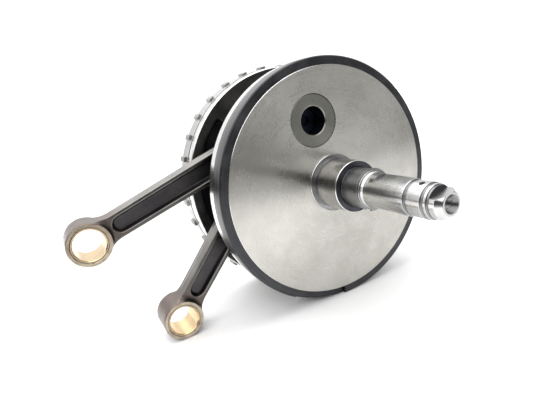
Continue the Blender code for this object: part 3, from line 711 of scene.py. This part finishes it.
def flywheel(name, face, side, outside):
    """A flywheel with its crankpin bore. outside is the material round its rim."""
    bm = bmesh.new()
    lathe_rings(bm, inner_face_rings(flywheel_section(face)), LARGE_STEPS)
    for vert in bm.verts:
        x, y, z = vert.co
        if abs(z - INNER_FACE) < 0.001:
            vert.co.z += pocket_depth(Vector((x, y)).length, atan2(y, x))
    # painted shade: faces deeper in the pocket than POCKET_FLOOR_FROM get the darker copy of the
    # forging skin
    for patch in bm.faces:
        deep = patch.calc_center_median().z > INNER_FACE + POCKET_FLOOR_FROM
        if patch.material_index == FORGED and deep:
            patch.material_index = PAINTED_SHADE_POCKET
    obj = finished(name, bm, [FACE, RIM, outside, STRIPE, SKIN, POCKET], side)
    fit, mouth, end = PIN_RADIUS + 0.2, PIN_RADIUS + 0.5, face + CLEAR
    bore = [(0, 0), (fit, 0), (fit, face - 0.4), (mouth, face), (mouth, end), (0, end)]
    # the bore's mouth round the crankpin is near-black, painted shade in the gap
    cutter = turned(name + "_bore", bore, [NEAR_BLACK_SHADE], 96, 0, side)
    cutter.location = (PIN_CENTRE[0] / 1000, PIN_CENTRE[1] / 1000, 0)
    return cut(obj, cutter)


def right_flywheel():
    obj = flywheel("turned_right_flywheel", RIGHT_FACE, 1, BAND)
    edge = RIGHT_FACE - EDGE_STEP
    outline = arc((0, 0), RIM_RADIUS + CLEAR, *NOTCH_SPAN, NOTCH_STEPS)
    outline += arc((0, 0), FACE_RADIUS + 0.6, *reversed(NOTCH_SPAN), NOTCH_STEPS)
    cut(obj, prism("notch", outline, edge - NOTCH_DEPTH, edge + CLEAR, RIM))
    place(obj, "crank", ["right_flywheel"])


def tooth(turn):
    """One sensor tooth, with its edges rounded."""
    height, width, length = TOOTH_SIZE
    bm = bmesh.new()
    centre = (RIM_RADIUS + (height - TOOTH_ROOT) / 2, 0, TOOTH_FIRST + length / 2)
    size = Matrix.Diagonal((height + TOOTH_ROOT, width, length, 1))
    bmesh.ops.create_cube(bm, size=1, matrix=Matrix.Translation(centre) @ size)
    bmesh.ops.bevel(bm, geom=bm.edges[:], offset=TOOTH_BEVEL, segments=3, profile=0.6, affect="EDGES")
    bmesh.ops.rotate(bm, cent=(0, 0, 0), matrix=Matrix.Rotation(turn, 3, "Z"), verts=bm.verts)
    return bm


def left_flywheel():
    obj = flywheel("turned_left_flywheel", LEFT_FACE, -1, MILLED)
    pitch = 2 * pi / TOOTH_PITCHES
    teeth = bmesh.new()
    for i in range(TOOTH_PITCHES - MISSING_TEETH):
        one = tooth(TOOTH_GAP_ANGLE + pitch * ((MISSING_TEETH + 1) / 2 + i))
        mesh = bpy.data.meshes.new("tooth")
        one.to_mesh(mesh)
        one.free()
        teeth.from_mesh(mesh)
        bpy.data.meshes.remove(mesh)
    cut(obj, finished("teeth", teeth, [TOOTH]), "UNION")
    place(obj, "crank", ["left_flywheel"])


# ---------------------------------------------------------------- crankpin and bearings


def crankpin():
    right, left = RIGHT_FACE - PIN_RECESS, -LEFT_FACE + PIN_RECESS
    section = [
        (PIN_HOLE, right - PIN_MOUTH, 0),
        (PIN_HOLE + PIN_MOUTH, right, 0),
        (PIN_RADIUS - 0.3, right, 0),
        (PIN_RADIUS, right - 0.3, 1),
        (PIN_RADIUS, left + 0.3, 0),
        (PIN_RADIUS - 0.3, left, 0),
        (PIN_HOLE + PIN_MOUTH, left, 0),
        (PIN_HOLE, left + PIN_MOUTH, 2),
        (PIN_HOLE, left + PIN_HOLE_DEPTH, 2),
        (PIN_BORE, left + PIN_HOLE_DEPTH, 2),
        (PIN_BORE, right - PIN_HOLE_DEPTH, 2),
        (PIN_HOLE, right - PIN_HOLE_DEPTH, 2),
    ]
    # the bore's walls get the near-black bluish colour, painted shade inside the hole
    obj = turned("ground_crankpin", section, [PIN, RACE, HOLE], PIN_STEPS)
    place(obj, "crank", ["crankpin"], PIN_PLACE, PIN_ANGLE)
    for side, end, node in ((1, right, "crankpin_plug_right"), (-1, -left, "crankpin_plug_left")):
        base = end - PIN_HOLE_DEPTH + GAP
        plug = ring_section(0, PIN_HOLE - GAP, base, base + PLUG_THICKNESS)
        # the plugs in the bore get the same near-black bluish colour, painted shade
        obj = turned("threaded_" + node, plug, [HOLE], CAGE_STEPS, 0.7, side)
        heights = sorted((side * (base + HEXAGON_FLOOR), side * (base + 2 * PLUG_THICKNESS)))
        cut(obj, prism("hexagon", arc((0, 0), HEXAGON_RADIUS, 0, 2 * pi * 5 / 6, 5), *heights, HOLE))
        place(obj, "crank", [node], PIN_PLACE, PIN_ANGLE)


def big_end_parts():
    outer = INNER_FACE - GAP
    for side, hand in ((1, "right"), (-1, "left")):
        section = ring_section(PIN_RADIUS + GAP, SIDE_WASHER_RADIUS, outer - SIDE_WASHER, outer)
        obj = turned(f"lapped_side_washer_{hand}", section, [RACE], PIN_STEPS, 0.3, side)
        place(obj, "crank", [f"rod_side_washer_{hand}"], PIN_PLACE)
        section = ring_section(RACE_INNER, RACE_OUTER, FORK_SLOT_HALF, FORK_HALF_WIDTH)
        obj = turned(f"ground_fork_race_{hand}", section, [RACE], PIN_STEPS, 0.4, side)
        place(obj, "fork_rod", [f"fork_race_{hand}"], PIN_PLACE, FORK_ANGLE)
        cage(f"fork_cage_{hand}", FORK_SLOT_HALF, FORK_HALF_WIDTH, side, "fork_cages", FORK_ANGLE)
    section = ring_section(RACE_INNER, RACE_OUTER, -KNIFE_HALF_WIDTH, KNIFE_HALF_WIDTH)
    obj = turned("ground_knife_race", section, [RACE], PIN_STEPS, 0.4)
    place(obj, "knife_rod", ["knife_race"], PIN_PLACE, KNIFE_ANGLE)
    cage("knife_cage", -KNIFE_HALF_WIDTH, KNIFE_HALF_WIDTH, 1, "knife_cage", KNIFE_ANGLE)


def cage(node, z0, z1, side, body, turn):
    """A cage of two rings and bars, with its rollers between them."""
    inner, outer = ROLLER_CIRCLE - CAGE_HALF, ROLLER_CIRCLE + CAGE_HALF
    z0, z1 = z0 + GAP, z1 - GAP
    low_end, high_end = z0 + CAGE_EDGE, z1 - CAGE_EDGE
    bm = bmesh.new()
    for low, high in ((z0, low_end), (high_end, z1)):
        section = [(*p, 0) for p in ring_section(inner, outer, low, high)]
        lathe_rings(bm, eased(section, 0.25), CAGE_STEPS)
    roller = [(*p, 1) for p in ring_section(0, ROLLER_RADIUS, low_end + 0.1, high_end - 0.1)]
    for i in range(ROLLERS):
        angle = 2 * pi * (i + 0.5) / ROLLERS
        centre = (ROLLER_CIRCLE * cos(angle), ROLLER_CIRCLE * sin(angle), 0)
        start = len(bm.verts)
        lathe_rings(bm, eased(roller, 0.3), 24)
        bm.verts.ensure_lookup_table()
        bmesh.ops.translate(bm, vec=centre, verts=bm.verts[start:])
        between = 2 * pi * i / ROLLERS
        bar = spin(between) @ Matrix.Translation((ROLLER_CIRCLE, 0, (z0 + z1) / 2))
        size = Matrix.Diagonal((*CAGE_BAR, z1 - z0 - CAGE_EDGE, 1))
        bmesh.ops.create_cube(bm, size=1, matrix=bar @ size)
    obj = finished("caged_rollers_" + node, bm, [STRIPE, RACE], side)
    place(obj, body, [node], PIN_PLACE, turn)


# ---------------------------------------------------------------- shafts


def shaft_start(face):
    """The pressed-in end, the seat of the main bearing's race and the retaining ring's groove."""
    return [
        (SHAFT_SEAT - 1, INNER_FACE + 0.5),
        (SHAFT_SEAT, INNER_FACE + 1.5),
        (SHAFT_SEAT, face),
        (RACE_BORE - GAP, face),
        (RACE_BORE - GAP, face + RACE_END, 1),
        (NECK_RADIUS, face + RACE_END + 0.1, 1),
        (NECK_RADIUS, face + RING_AT, 1),
        (RING_RADII[0] - GAP, face + RING_AT, 1),
        (RING_RADII[0] - GAP, face + RING_AT + RING_GROOVE, 0),
    ]


def threaded(name, radius, depth, mouth, pitch, material, side=1):
    """A tapped hole as a solid: a helical thread under a countersunk mouth at height mouth."""
    rows = int(depth / pitch * THREAD_ROWS)
    steps = THREAD_STEPS
    cut_depth = pitch * THREAD_DEPTH
    bm = bmesh.new()
    rings = []
    top = mouth + 1.0
    bottom = mouth - depth
    for j in range(rows + 1):
        z = bottom + (top - bottom) * j / rows
        ring = []
        for i in range(steps):
            t = 2 * pi * i / steps
            phase = (z / pitch - i / steps) % 1
            r = radius + cut_depth * (abs(2 * phase - 1) - THREAD_CREST)
            r = max(r, radius + THREAD_MOUTH + (z - mouth))
            ring.append(bm.verts.new((r * cos(t), r * sin(t), z)))
        rings.append(ring)
    for ring, following in zip(rings, rings[1:]):
        for i in range(steps):
            j = (i + 1) % steps
            bm.faces.new((ring[i], ring[j], following[j], following[i]))
    tip = bm.verts.new((0, 0, bottom - radius * DRILL_POINT))
    for i in range(steps):
        bm.faces.new((rings[0][(i + 1) % steps], rings[0][i], tip))
    bm.faces.new(rings[-1])
    return finished(name, bm, [material], side)


def pinion_shaft():
    face = RIGHT_FACE
    end = face + PINION_LENGTH
    section = shaft_start(face) + [(r, face + z, finish) for r, z, finish in PINION_STEPS]
    section += [(0, end, 0), (0, INNER_FACE + 0.5, 0)]
    obj = turned("ground_pinion_shaft", section, [GROUND, NECK, TURNED], SHAFT_STEPS, 0.3)
    for side in (1, -1):
        x0, x1 = sorted((side * FLAT_HEIGHT, side * FAR))
        z0, z1 = (face + z for z in FLAT_SPAN)
        cut(obj, block("flat", (x0, -FAR, z0), (x1, FAR, z1), [MILLED, NECK], PIN_ANGLE))
    corners = (END_FLAT_HEIGHT, -FAR, face + END_FLAT_START), (FAR, FAR, end + FAR)
    # the end flat's step wall is near-black, painted shade
    cut(obj, block("flat", *corners, [MILLED, NEAR_BLACK_SHADE], PIN_ANGLE))
    narrow, wide = OIL_HOLE_RADIUS, OIL_HOLE_RADIUS + OIL_HOLE_MOUTH
    drilled = [(0, 6), (narrow, 6), (narrow, 11.6), (wide, 12.1), (wide, FAR), (0, FAR)]
    # the oil hole's walls are near-black, painted shade in the hole
    drill = turned("drill", drilled, [NEAR_BLACK_SHADE], 32, 0)
    drill.data.transform(Matrix.Rotation(pi / 2, 4, "Y"))
    drill.data.transform(Matrix.Translation((0, 0, (face + OIL_HOLE_AT) / 1000)))
    drill.data.transform(spin(PIN_ANGLE + OIL_HOLE_TURN))
    cut(obj, drill)
    cut(obj, threaded("tapped", PINION_HOLE, PINION_HOLE_DEPTH, end, PINION_PITCH, NECK))
    place(obj, "crank", ["pinion_shaft"])


def sprocket_shaft():
    face = LEFT_FACE
    end = face + SPROCKET_LENGTH
    root = SPLINE_RADIUS - SPLINE_DEPTH
    section = shaft_start(face) + [
        (15.2, face + 50.9, 0),
        (15.2, face + SPLINE_SPAN[0] - 5, 0),
        (root, face + SPLINE_SPAN[0] - 3.5, 2),
        (root, end - 1.5, 2),
        (root - 1.5, end, 2),
        (0, end, 0),
        (0, INNER_FACE + 0.5, 0),
    ]
    obj = turned("ground_sprocket_shaft", section, [GROUND, NECK, TURNED], SHAFT_STEPS, 0.3, -1)
    cut(obj, splines(), "UNION")
    cut(obj, threaded("tapped", SPROCKET_HOLE, SPROCKET_HOLE_DEPTH, end, SPROCKET_PITCH, NECK, -1))
    place(obj, "crank", ["sprocket_shaft"])


def splines():
    """The spline teeth: bevelled blocks that reach into the shaft."""
    width = pi * SPLINE_RADIUS / SPLINES * 0.92
    height = SPLINE_DEPTH + SPLINE_REACH
    length = SPLINE_SPAN[1] - SPLINE_SPAN[0]
    bm = bmesh.new()
    for i in range(SPLINES):
        centre = (SPLINE_RADIUS - height / 2, 0, -(LEFT_FACE + sum(SPLINE_SPAN) / 2))
        where = spin(2 * pi * i / SPLINES) @ Matrix.Translation(centre)
        size = Matrix.Diagonal((height, width, length, 1))
        bmesh.ops.create_cube(bm, size=1, matrix=where @ size)
    bmesh.ops.bevel(bm, geom=bm.edges[:], offset=SPLINE_BEVEL, segments=2, profile=0.5, affect="EDGES")
    return finished("splines", bm, [TURNED])


def shaft_rings(side, face, hand):
    """The thrust washer, the main bearing's inner race and the retaining ring of one shaft."""
    section = ring_section(RACE_BORE, WASHER_RADIUS, face + GAP, face + WASHER_END)
    # the washer's face towards the race gets the dull steel, painted shade in the groove between
    # washer and race
    section = [(*point, finish) for point, finish in zip(section, (0, 0, 1, 0))]
    obj = turned(f"lapped_{hand}_thrust_washer", section, [STRIPE, NECK], SHAFT_STEPS, 0.9, side)
    place(obj, "crank", [f"{hand}_thrust_washer"])
    low, high = face + WASHER_END + GAP, face + RACE_END - GAP
    depth, length, chamfer = RACE_CHAMFERS
    section = [
        (RACE_BORE, low, 0),
        (RACE_RADIUS - depth, low, 2),
        (RACE_RADIUS, low + length, 0),
        (RACE_RADIUS, high - chamfer, 2),
        # the race's outer end face is near-black, painted shade
        (RACE_RADIUS - chamfer, high, 1),
        (RACE_BORE + 0.5, high, 1),
        (RACE_BORE, high - 0.5, 1),
    ]
    obj = turned(f"ground_{hand}_bearing_race", section, [RACE, NEAR_BLACK_SHADE, STRIPE], SHAFT_STEPS, 0.2, side)
    place(obj, "crank", [f"{hand}_bearing_race"])
    z0 = face + RING_AT + GAP
    section = ring_section(*RING_RADII, z0, z0 + RING_WIDTH)
    obj = turned(f"sprung_{hand}_retaining_ring", section, [NECK], SHAFT_STEPS, 0.3, side)
    corners = (8, -RING_GAP_HALF, -200), (30, RING_GAP_HALF, 200)
    # the retaining ring's cut ends are near-black, painted shade in its gap
    cut(obj, block("gap", *corners, [NEAR_BLACK_SHADE, NEAR_BLACK_SHADE], RING_GAP_ANGLE))
    place(obj, "crank", [f"{hand}_retaining_ring"])


# ---------------------------------------------------------------- rods


def fillet(end_radius, half_height):
    """Centre of the arc from a beam's edge to a round end at x = 0, and where it meets that end."""
    reach = sqrt((end_radius + BEAM_FILLET) ** 2 - (half_height + BEAM_FILLET) ** 2)
    centre = (reach, half_height + BEAM_FILLET)
    share = end_radius / (end_radius + BEAM_FILLET)
    return centre, (reach * share, centre[1] * share)


def side_outline():
    """Side view of a rod: a round big end, a tapered beam and a round small end."""
    near, near_meets = fillet(BIG_END_RADIUS, BEAM_HALF_HEIGHT[0])
    far, far_meets = fillet(SMALL_END_RADIUS, BEAM_HALF_HEIGHT[1])
    near_turn = atan2(near_meets[1] - near[1], near_meets[0] - near[0]) + 2 * pi
    far_turn = atan2(far_meets[1] - far[1], far_meets[0] - far[0]) + 2 * pi
    upper = arc(near, BEAM_FILLET, near_turn, 1.5 * pi, 22)
    lowest, beam_end = upper[-1], (ROD_LENGTH - far[0], BEAM_HALF_HEIGHT[1])
    for i in range(1, 60):
        share = i / 60
        upper.append(tuple(a + (b - a) * share for a, b in zip(lowest, beam_end)))
    far_arc = arc(far, BEAM_FILLET, far_turn, 1.5 * pi, 22)
    upper += [(ROD_LENGTH - x, y) for x, y in reversed(far_arc)]
    lower = [(x, -y) for x, y in reversed(upper)]
    small = atan2(far_meets[1], -far_meets[0])
    big = atan2(near_meets[1], near_meets[0])
    small_arc = arc((ROD_LENGTH, 0), SMALL_END_RADIUS, small, -small, 84)[1:-1]
    big_arc = arc((0, 0), BIG_END_RADIUS, 2 * pi - big, big, 110)[1:-1]
    return upper + small_arc + lower + big_arc


def pocket_half(x):
    share = (x - BIG_END_RADIUS) / (ROD_LENGTH - SMALL_END_RADIUS - BIG_END_RADIUS)
    big, small = BEAM_HALF_HEIGHT
    return big + (small - big) * share - RAIL_WIDTH


def pocket_inside(x, y, start, end):
    """How far inside the pocket's outline a point is, below 0 outside."""
    r0, r1 = pocket_half(start), pocket_half(end)
    middle_part = pocket_half(x) - np.abs(y)
    left = r0 - np.hypot(x - start - r0, y)
    right = r1 - np.hypot(x - end + r1, y)
    return np.where(x < start + r0, left, np.where(x > end - r1, right, middle_part))


def pocket_ring(inset, start, end):
    """A closed ring of points, inset from the pocket's outline."""
    r0, r1 = pocket_half(start), pocket_half(end)
    left = arc((start + r0, 0), r0 - inset, 0.5 * pi, 1.5 * pi, 14)
    right = arc((end - r1, 0), r1 - inset, -0.5 * pi, 0.5 * pi, 14)
    count = 70
    run = [start + r0 + (end - r1 - start - r0) * i / count for i in range(1, count)]
    low = [(x, -pocket_half(x) + inset) for x in run]
    high = [(x, pocket_half(x) - inset) for x in reversed(run)]
    return left + low + right + high


def distance_inside(points, outline):
    """Distance of each point from the outline's nearest segment."""
    a = np.array(outline)
    b = np.roll(a, -1, axis=0)
    nearest = np.full(len(points), 1e9)
    for p, q in zip(a, b):
        along = q - p
        share = np.clip(((points - p) @ along) / (along @ along), 0, 1)
        gap = points - (p + share[:, None] * along)
        nearest = np.minimum(nearest, np.hypot(*gap.T))
    return nearest


def inside(points, outline):
    """Whether each point lies inside a closed outline."""
    x, y = points.T
    found = np.zeros(len(points), bool)
    for (x0, y0), (x1, y1) in zip(outline, outline[1:] + outline[:1]):
        if y0 != y1:
            crosses = ((y0 > y) != (y1 > y)) & (x < (x1 - x0) * (y - y0) / (y1 - y0) + x0)
            found ^= crosses
    return found


def outward_normals(outline):
    a = np.array(outline)
    along = np.roll(a, -1, axis=0) - np.roll(a, 1, axis=0)
    along /= np.hypot(*along.T)[:, None]
    return np.stack([-along[:, 1], along[:, 0]], axis=1)


QUARTER = [1 - cos(radians(a)) for a in (0, 18, 36, 54, 72, 90)]


def from_small_end(x, y):
    return np.hypot(x - ROD_LENGTH, y)


class RodShape:
    """Half the rod's thickness at each point of its side view."""

    def __init__(self, big_half, taper, pocket_start):
        self.big_half = big_half
        self.taper = taper
        self.pocket = (pocket_start, ROD_LENGTH - SMALL_END_RADIUS - POCKET_END_GAP)
        self.outline = side_outline()

    def edge_radius(self, x, y):
        """Radius of the rounded edge: soft on the beam, crisp on the machined ends."""
        soft = eased_step(from_small_end(x, y) - SMALL_END_RADIUS, *EDGE_EASE)
        soft = soft * eased_step(x, *self.taper)
        return EDGE_RADII[0] + EDGE_RADII[1] * soft

    def half_at(self, points):
        x, y = points.T
        deep = pocket_inside(x, y, *self.pocket)
        half = BEAM_HALF + (WEB_HALF - BEAM_HALF) * eased_step(deep, 0, POCKET_WALL)
        half = half + (self.big_half - half) * (1 - eased_step(x, *self.taper))
        share = np.clip((from_small_end(x, y) - SMALL_END_RADIUS) / BOSS_FILLET, 0, 1)
        boss = 1 - np.sqrt(1 - (1 - share) ** 2)
        half = half + (SMALL_END_HALF - half) * boss
        radius = self.edge_radius(x, y)
        short = np.clip(radius - distance_inside(points, self.outline), 0, None)
        half = half - (radius - np.sqrt(np.clip(radius**2 - short**2, 0, None)))
        lip = np.clip(SMALL_LIP - (from_small_end(x, y) - SMALL_BORE), 0, SMALL_LIP)
        return half - lip

    def finishes(self, points):
        """0 on the rounded edges (the lighter steel, painted highlight), 1 in the pocket, 2 on the
        small end's faces and 3 on the rails (the darker steel, painted shade).
        """
        x, y = points.T
        deep = pocket_inside(x, y, *self.pocket)
        short = distance_inside(points, self.outline)
        rail = (short > QUARTER[4] * self.edge_radius(x, y)) & (deep < -0.2 * POCKET_WALL)
        flat = np.where(rail, 3, 0)
        flat = np.where(np.hypot(x, y) < BIG_END_RADIUS - 1, 0, flat)
        flat = np.where(from_small_end(x, y) < SMALL_END_RADIUS - 0.3, 2, flat)
        return np.where(deep > 0.25 * POCKET_WALL, 1, flat)

    def points(self):
        """The outline and the two bores, then rings and a grid inside. Returns them with the loops."""
        outline = self.outline
        big = arc((0, 0), BIG_BORE, 0, 2 * pi, 120)[:-1]
        small, lip, flat = (
            arc((ROD_LENGTH, 0), SMALL_BORE + more, 0, 2 * pi, 90)[:-1] for more in (0, SMALL_LIP, 1.6)
        )
        loops = [outline, big, small]
        fixed = sum(loops, [])
        normals = outward_normals(outline)
        radius = self.edge_radius(*np.array(outline).T)
        extra = []
        for share in QUARTER[1:] + [1.2]:
            moved = np.array(outline) - normals * (radius * share)[:, None]
            extra += [tuple(p) for p in moved]
        for share in (-0.2, 0, 0.12, 0.25, 0.38, 0.5, 0.62, 0.75, 0.88, 1, 1.3):
            extra += pocket_ring(POCKET_WALL * share, *self.pocket)
        for share in QUARTER + [-0.05, 1.3]:
            ring_radius = SMALL_END_RADIUS + BOSS_FILLET * share
            extra += arc((ROD_LENGTH, 0), ring_radius, radians(100), radians(260), 60)
        extra += lip + flat
        xs = np.arange(-BIG_END_RADIUS, ROD_LENGTH + SMALL_END_RADIUS, ROD_GRID)
        ys = np.arange(-BIG_END_RADIUS, BIG_END_RADIUS, ROD_GRID)
        grid = np.array([(x, y) for x in xs for y in ys])
        x, y = grid.T
        deep = pocket_inside(x, y, *self.pocket)
        plain = (deep < -0.8) | (deep > 1.4 * POCKET_WALL)
        plain &= distance_inside(grid, outline) > 1.5 * self.edge_radius(x, y)
        small_ring = from_small_end(x, y) - SMALL_END_RADIUS
        plain &= (small_ring < -0.4) | (small_ring > 1.4 * BOSS_FILLET)
        spare = np.array(extra + [tuple(p) for p in grid[plain]])
        keep = inside(spare, outline) & (distance_inside(spare, outline) > 0.03)
        keep &= np.hypot(*spare.T) > BIG_BORE + 0.4
        keep &= from_small_end(*spare.T) > SMALL_BORE + 0.3
        return fixed + [tuple(p) for p in spare[keep]], [len(loop) for loop in loops]


def rod_mesh(name, shape, materials):
    """Both sides of the rod from the same triangles, closed by walls round the outline and bores."""
    points, counts = shape.points()
    edges, first, loops = [], 0, []
    for count in counts:
        loop = list(range(first, first + count))
        edges += list(zip(loop, loop[1:] + loop[:1]))
        loops.append(loop)
        first += count
    flat = [Vector(p) for p in points]
    found, _, faces, sources, _, _ = delaunay_2d_cdt(flat, edges, [], 0, 0.00001)
    where = {}
    for index, origins in enumerate(sources):
        for origin in origins:
            where[origin] = index
    places = np.array([tuple(p) for p in found])
    half = shape.half_at(places)
    middles = places[np.array([list(f) for f in faces])].mean(axis=1)
    shown = inside(middles, shape.outline)
    shown &= np.hypot(*middles.T) > BIG_BORE - 0.05
    shown &= from_small_end(*middles.T) > SMALL_BORE - 0.05
    finishes = shape.finishes(middles)
    bm = bmesh.new()
    front = [bm.verts.new((x, y, h)) for (x, y), h in zip(places, half)]
    back = [bm.verts.new((x, y, -h)) for (x, y), h in zip(places, half)]
    for (a, b, c), keep, finish in zip(faces, shown, finishes):
        if not keep:
            continue
        bm.faces.new((front[a], front[b], front[c])).material_index = int(finish)
        bm.faces.new((back[c], back[b], back[a])).material_index = int(finish)
    outline_normals = outward_normals(shape.outline)
    for number, loop in enumerate(loops):
        indices = [where[i] for i in loop]
        rows = wall_rows(bm, shape, indices, places, half, outline_normals) if number == 0 else []
        rows = [[front[i] for i in indices], *rows, [back[i] for i in indices]]
        for upper, lower in zip(rows, rows[1:]):
            for i in range(len(indices)):
                j = (i + 1) % len(indices)
                bm.faces.new((upper[i], upper[j], lower[j], lower[i]))
    loose = [v for v in bm.verts if not v.link_faces]
    bmesh.ops.delete(bm, geom=loose, context="VERTS")
    return finished(name, bm, materials)


def wall_rows(bm, shape, indices, places, half, normals):
    """The forging's edge wall: a slight draft from each side, and the trimmed flash line between."""
    rows = []
    for level in FLASH_LEVELS:
        row = []
        for number, index in enumerate(indices):
            x, y = places[index]
            beam = eased_step(x, *shape.taper) * eased_step(ROD_LENGTH - SMALL_END_RADIUS - x, 0, 12)
            out = (DRAFT * (1 - abs(level)) + (FLASH if abs(level) < FLASH_HALF else 0)) * beam
            nx, ny = normals[number]
            row.append(bm.verts.new((x + nx * out, y + ny * out, half[index] * level)))
        rows.append(row)
    return rows


def knife_rod():
    shape = RodShape(KNIFE_HALF_WIDTH, KNIFE_TAPER, KNIFE_POCKET_START)
    obj = rod_mesh("forged_knife_rod", shape, rod_finishes(KNIFE_ANGLE))
    obj.data.transform(spin(KNIFE_ANGLE))
    place(obj, "knife_rod", ["knife_rod"], PIN_PLACE)
    bushing("knife", KNIFE_ANGLE)


def fork_rod():
    shape = RodShape(FORK_HALF_WIDTH, FORK_TAPER, FORK_POCKET_START)
    finishes = rod_finishes(FORK_ANGLE)
    obj = rod_mesh("forged_fork_rod", shape, finishes)
    slot = ring_section(0, FORK_SLOT_RADIUS, -FORK_SLOT_HALF, FORK_SLOT_HALF)
    cut(obj, turned("slot", slot, [finishes[0]], 192, 3.0))
    obj.data.transform(spin(FORK_ANGLE))
    place(obj, "fork_rod", ["fork_rod"], PIN_PLACE)
    bushing("fork", FORK_ANGLE)


def bushing(which, angle):
    section = [
        (BUSH_INNER, -BUSH_HALF + BUSH_MOUTH),
        (BUSH_INNER + BUSH_MOUTH, -BUSH_HALF),
        (BUSH_OUTER, -BUSH_HALF),
        (BUSH_OUTER, BUSH_HALF),
        (BUSH_INNER + BUSH_MOUTH, BUSH_HALF),
        (BUSH_INNER, BUSH_HALF - BUSH_MOUTH),
    ]
    section = [(r, z, finish) for (r, z), finish in zip(section, (0, 1, 1, 1, 0, 0))]
    obj = turned(f"bronze_{which}_bushing", section, [BRONZE, BUSH_FACE], PIN_STEPS, 0.25)
    reach = Vector((cos(angle), 0, sin(angle))) * (ROD_LENGTH / 1000)
    place(obj, f"{which}_rod", [f"{which}_bushing"], PIN_PLACE + reach)


# ---------------------------------------------------------------- studio


def camera():
    """A low three-quarter view on the pinion side, tipped as the camera was held."""
    made = bpy.data.cameras.new("camera")
    made.sensor_width = SENSOR
    made.lens = LENS
    obj = bpy.data.objects.new("camera", made)
    axes = Matrix((CAMERA_RIGHT, CAMERA_UP, CAMERA_RIGHT.cross(CAMERA_UP)))
    turn = axes.transposed().to_4x4()
    obj.matrix_world = Matrix.Translation(CRANK_PLACE + CAMERA_OFFSET) @ turn
    bpy.context.scene.collection.objects.link(obj)
    bpy.context.scene.camera = obj


def floor():
    bm = bmesh.new()
    bmesh.ops.create_circle(bm, cap_ends=True, radius=FLOOR_RADIUS, segments=96)
    obj = finished("studio_floor", bm, [floor_paint()])


def world():
    """A white backdrop, a soft ceiling light behind the object, and a darker room in front of it."""
    made = bpy.data.worlds.new("studio")
    bpy.context.scene.world = made
    made.use_nodes = True
    tree = made.node_tree
    background = tree.nodes["Background"]
    coordinates = tree.nodes.new("ShaderNodeTexCoord")
    way = tree.nodes.new("ShaderNodeSeparateXYZ")
    tree.links.new(coordinates.outputs["Generated"], way.inputs[0])

    def between(value, limits):
        node = tree.nodes.new("ShaderNodeMapRange")
        node.interpolation_type = "SMOOTHSTEP"
        for socket, number in enumerate(limits, 1):
            node.inputs[socket].default_value = number
        tree.links.new(value, node.inputs[0])
        return node.outputs[0]

    def combine(operation, a, b):
        node = tree.nodes.new("ShaderNodeMath")
        node.operation = operation
        tree.links.new(a, node.inputs[0])
        tree.links.new(b, node.inputs[1])
        return node.outputs[0]

    aim = tree.nodes.new("ShaderNodeVectorMath")
    aim.operation = "DOT_PRODUCT"
    aim.inputs[1].default_value = CEILING_WAY
    tree.links.new(coordinates.outputs["Generated"], aim.inputs[0])
    x, y, z = way.outputs
    window = combine("MULTIPLY", between(z, WINDOW), between(x, WINDOW_SIDE))
    room = combine("ADD", between(x, ROOM), window)
    wall = combine("MULTIPLY", between(y, BACK), between(z, WALL))
    ceiling = between(aim.outputs["Value"], CEILING)
    light = combine("ADD", combine("MAXIMUM", room, wall), ceiling)
    tree.links.new(light, background.inputs["Strength"])
    background.inputs["Color"].default_value = (1, 1, 1, 1)


def studio():
    floor()
    world()
    bpy.context.scene.view_settings.view_transform = "Standard"


right_flywheel()
left_flywheel()
crankpin()
big_end_parts()
pinion_shaft()
sprocket_shaft()
shaft_rings(1, RIGHT_FACE, "pinion")
shaft_rings(-1, LEFT_FACE, "sprocket")
knife_rod()
fork_rod()
studio()
camera()
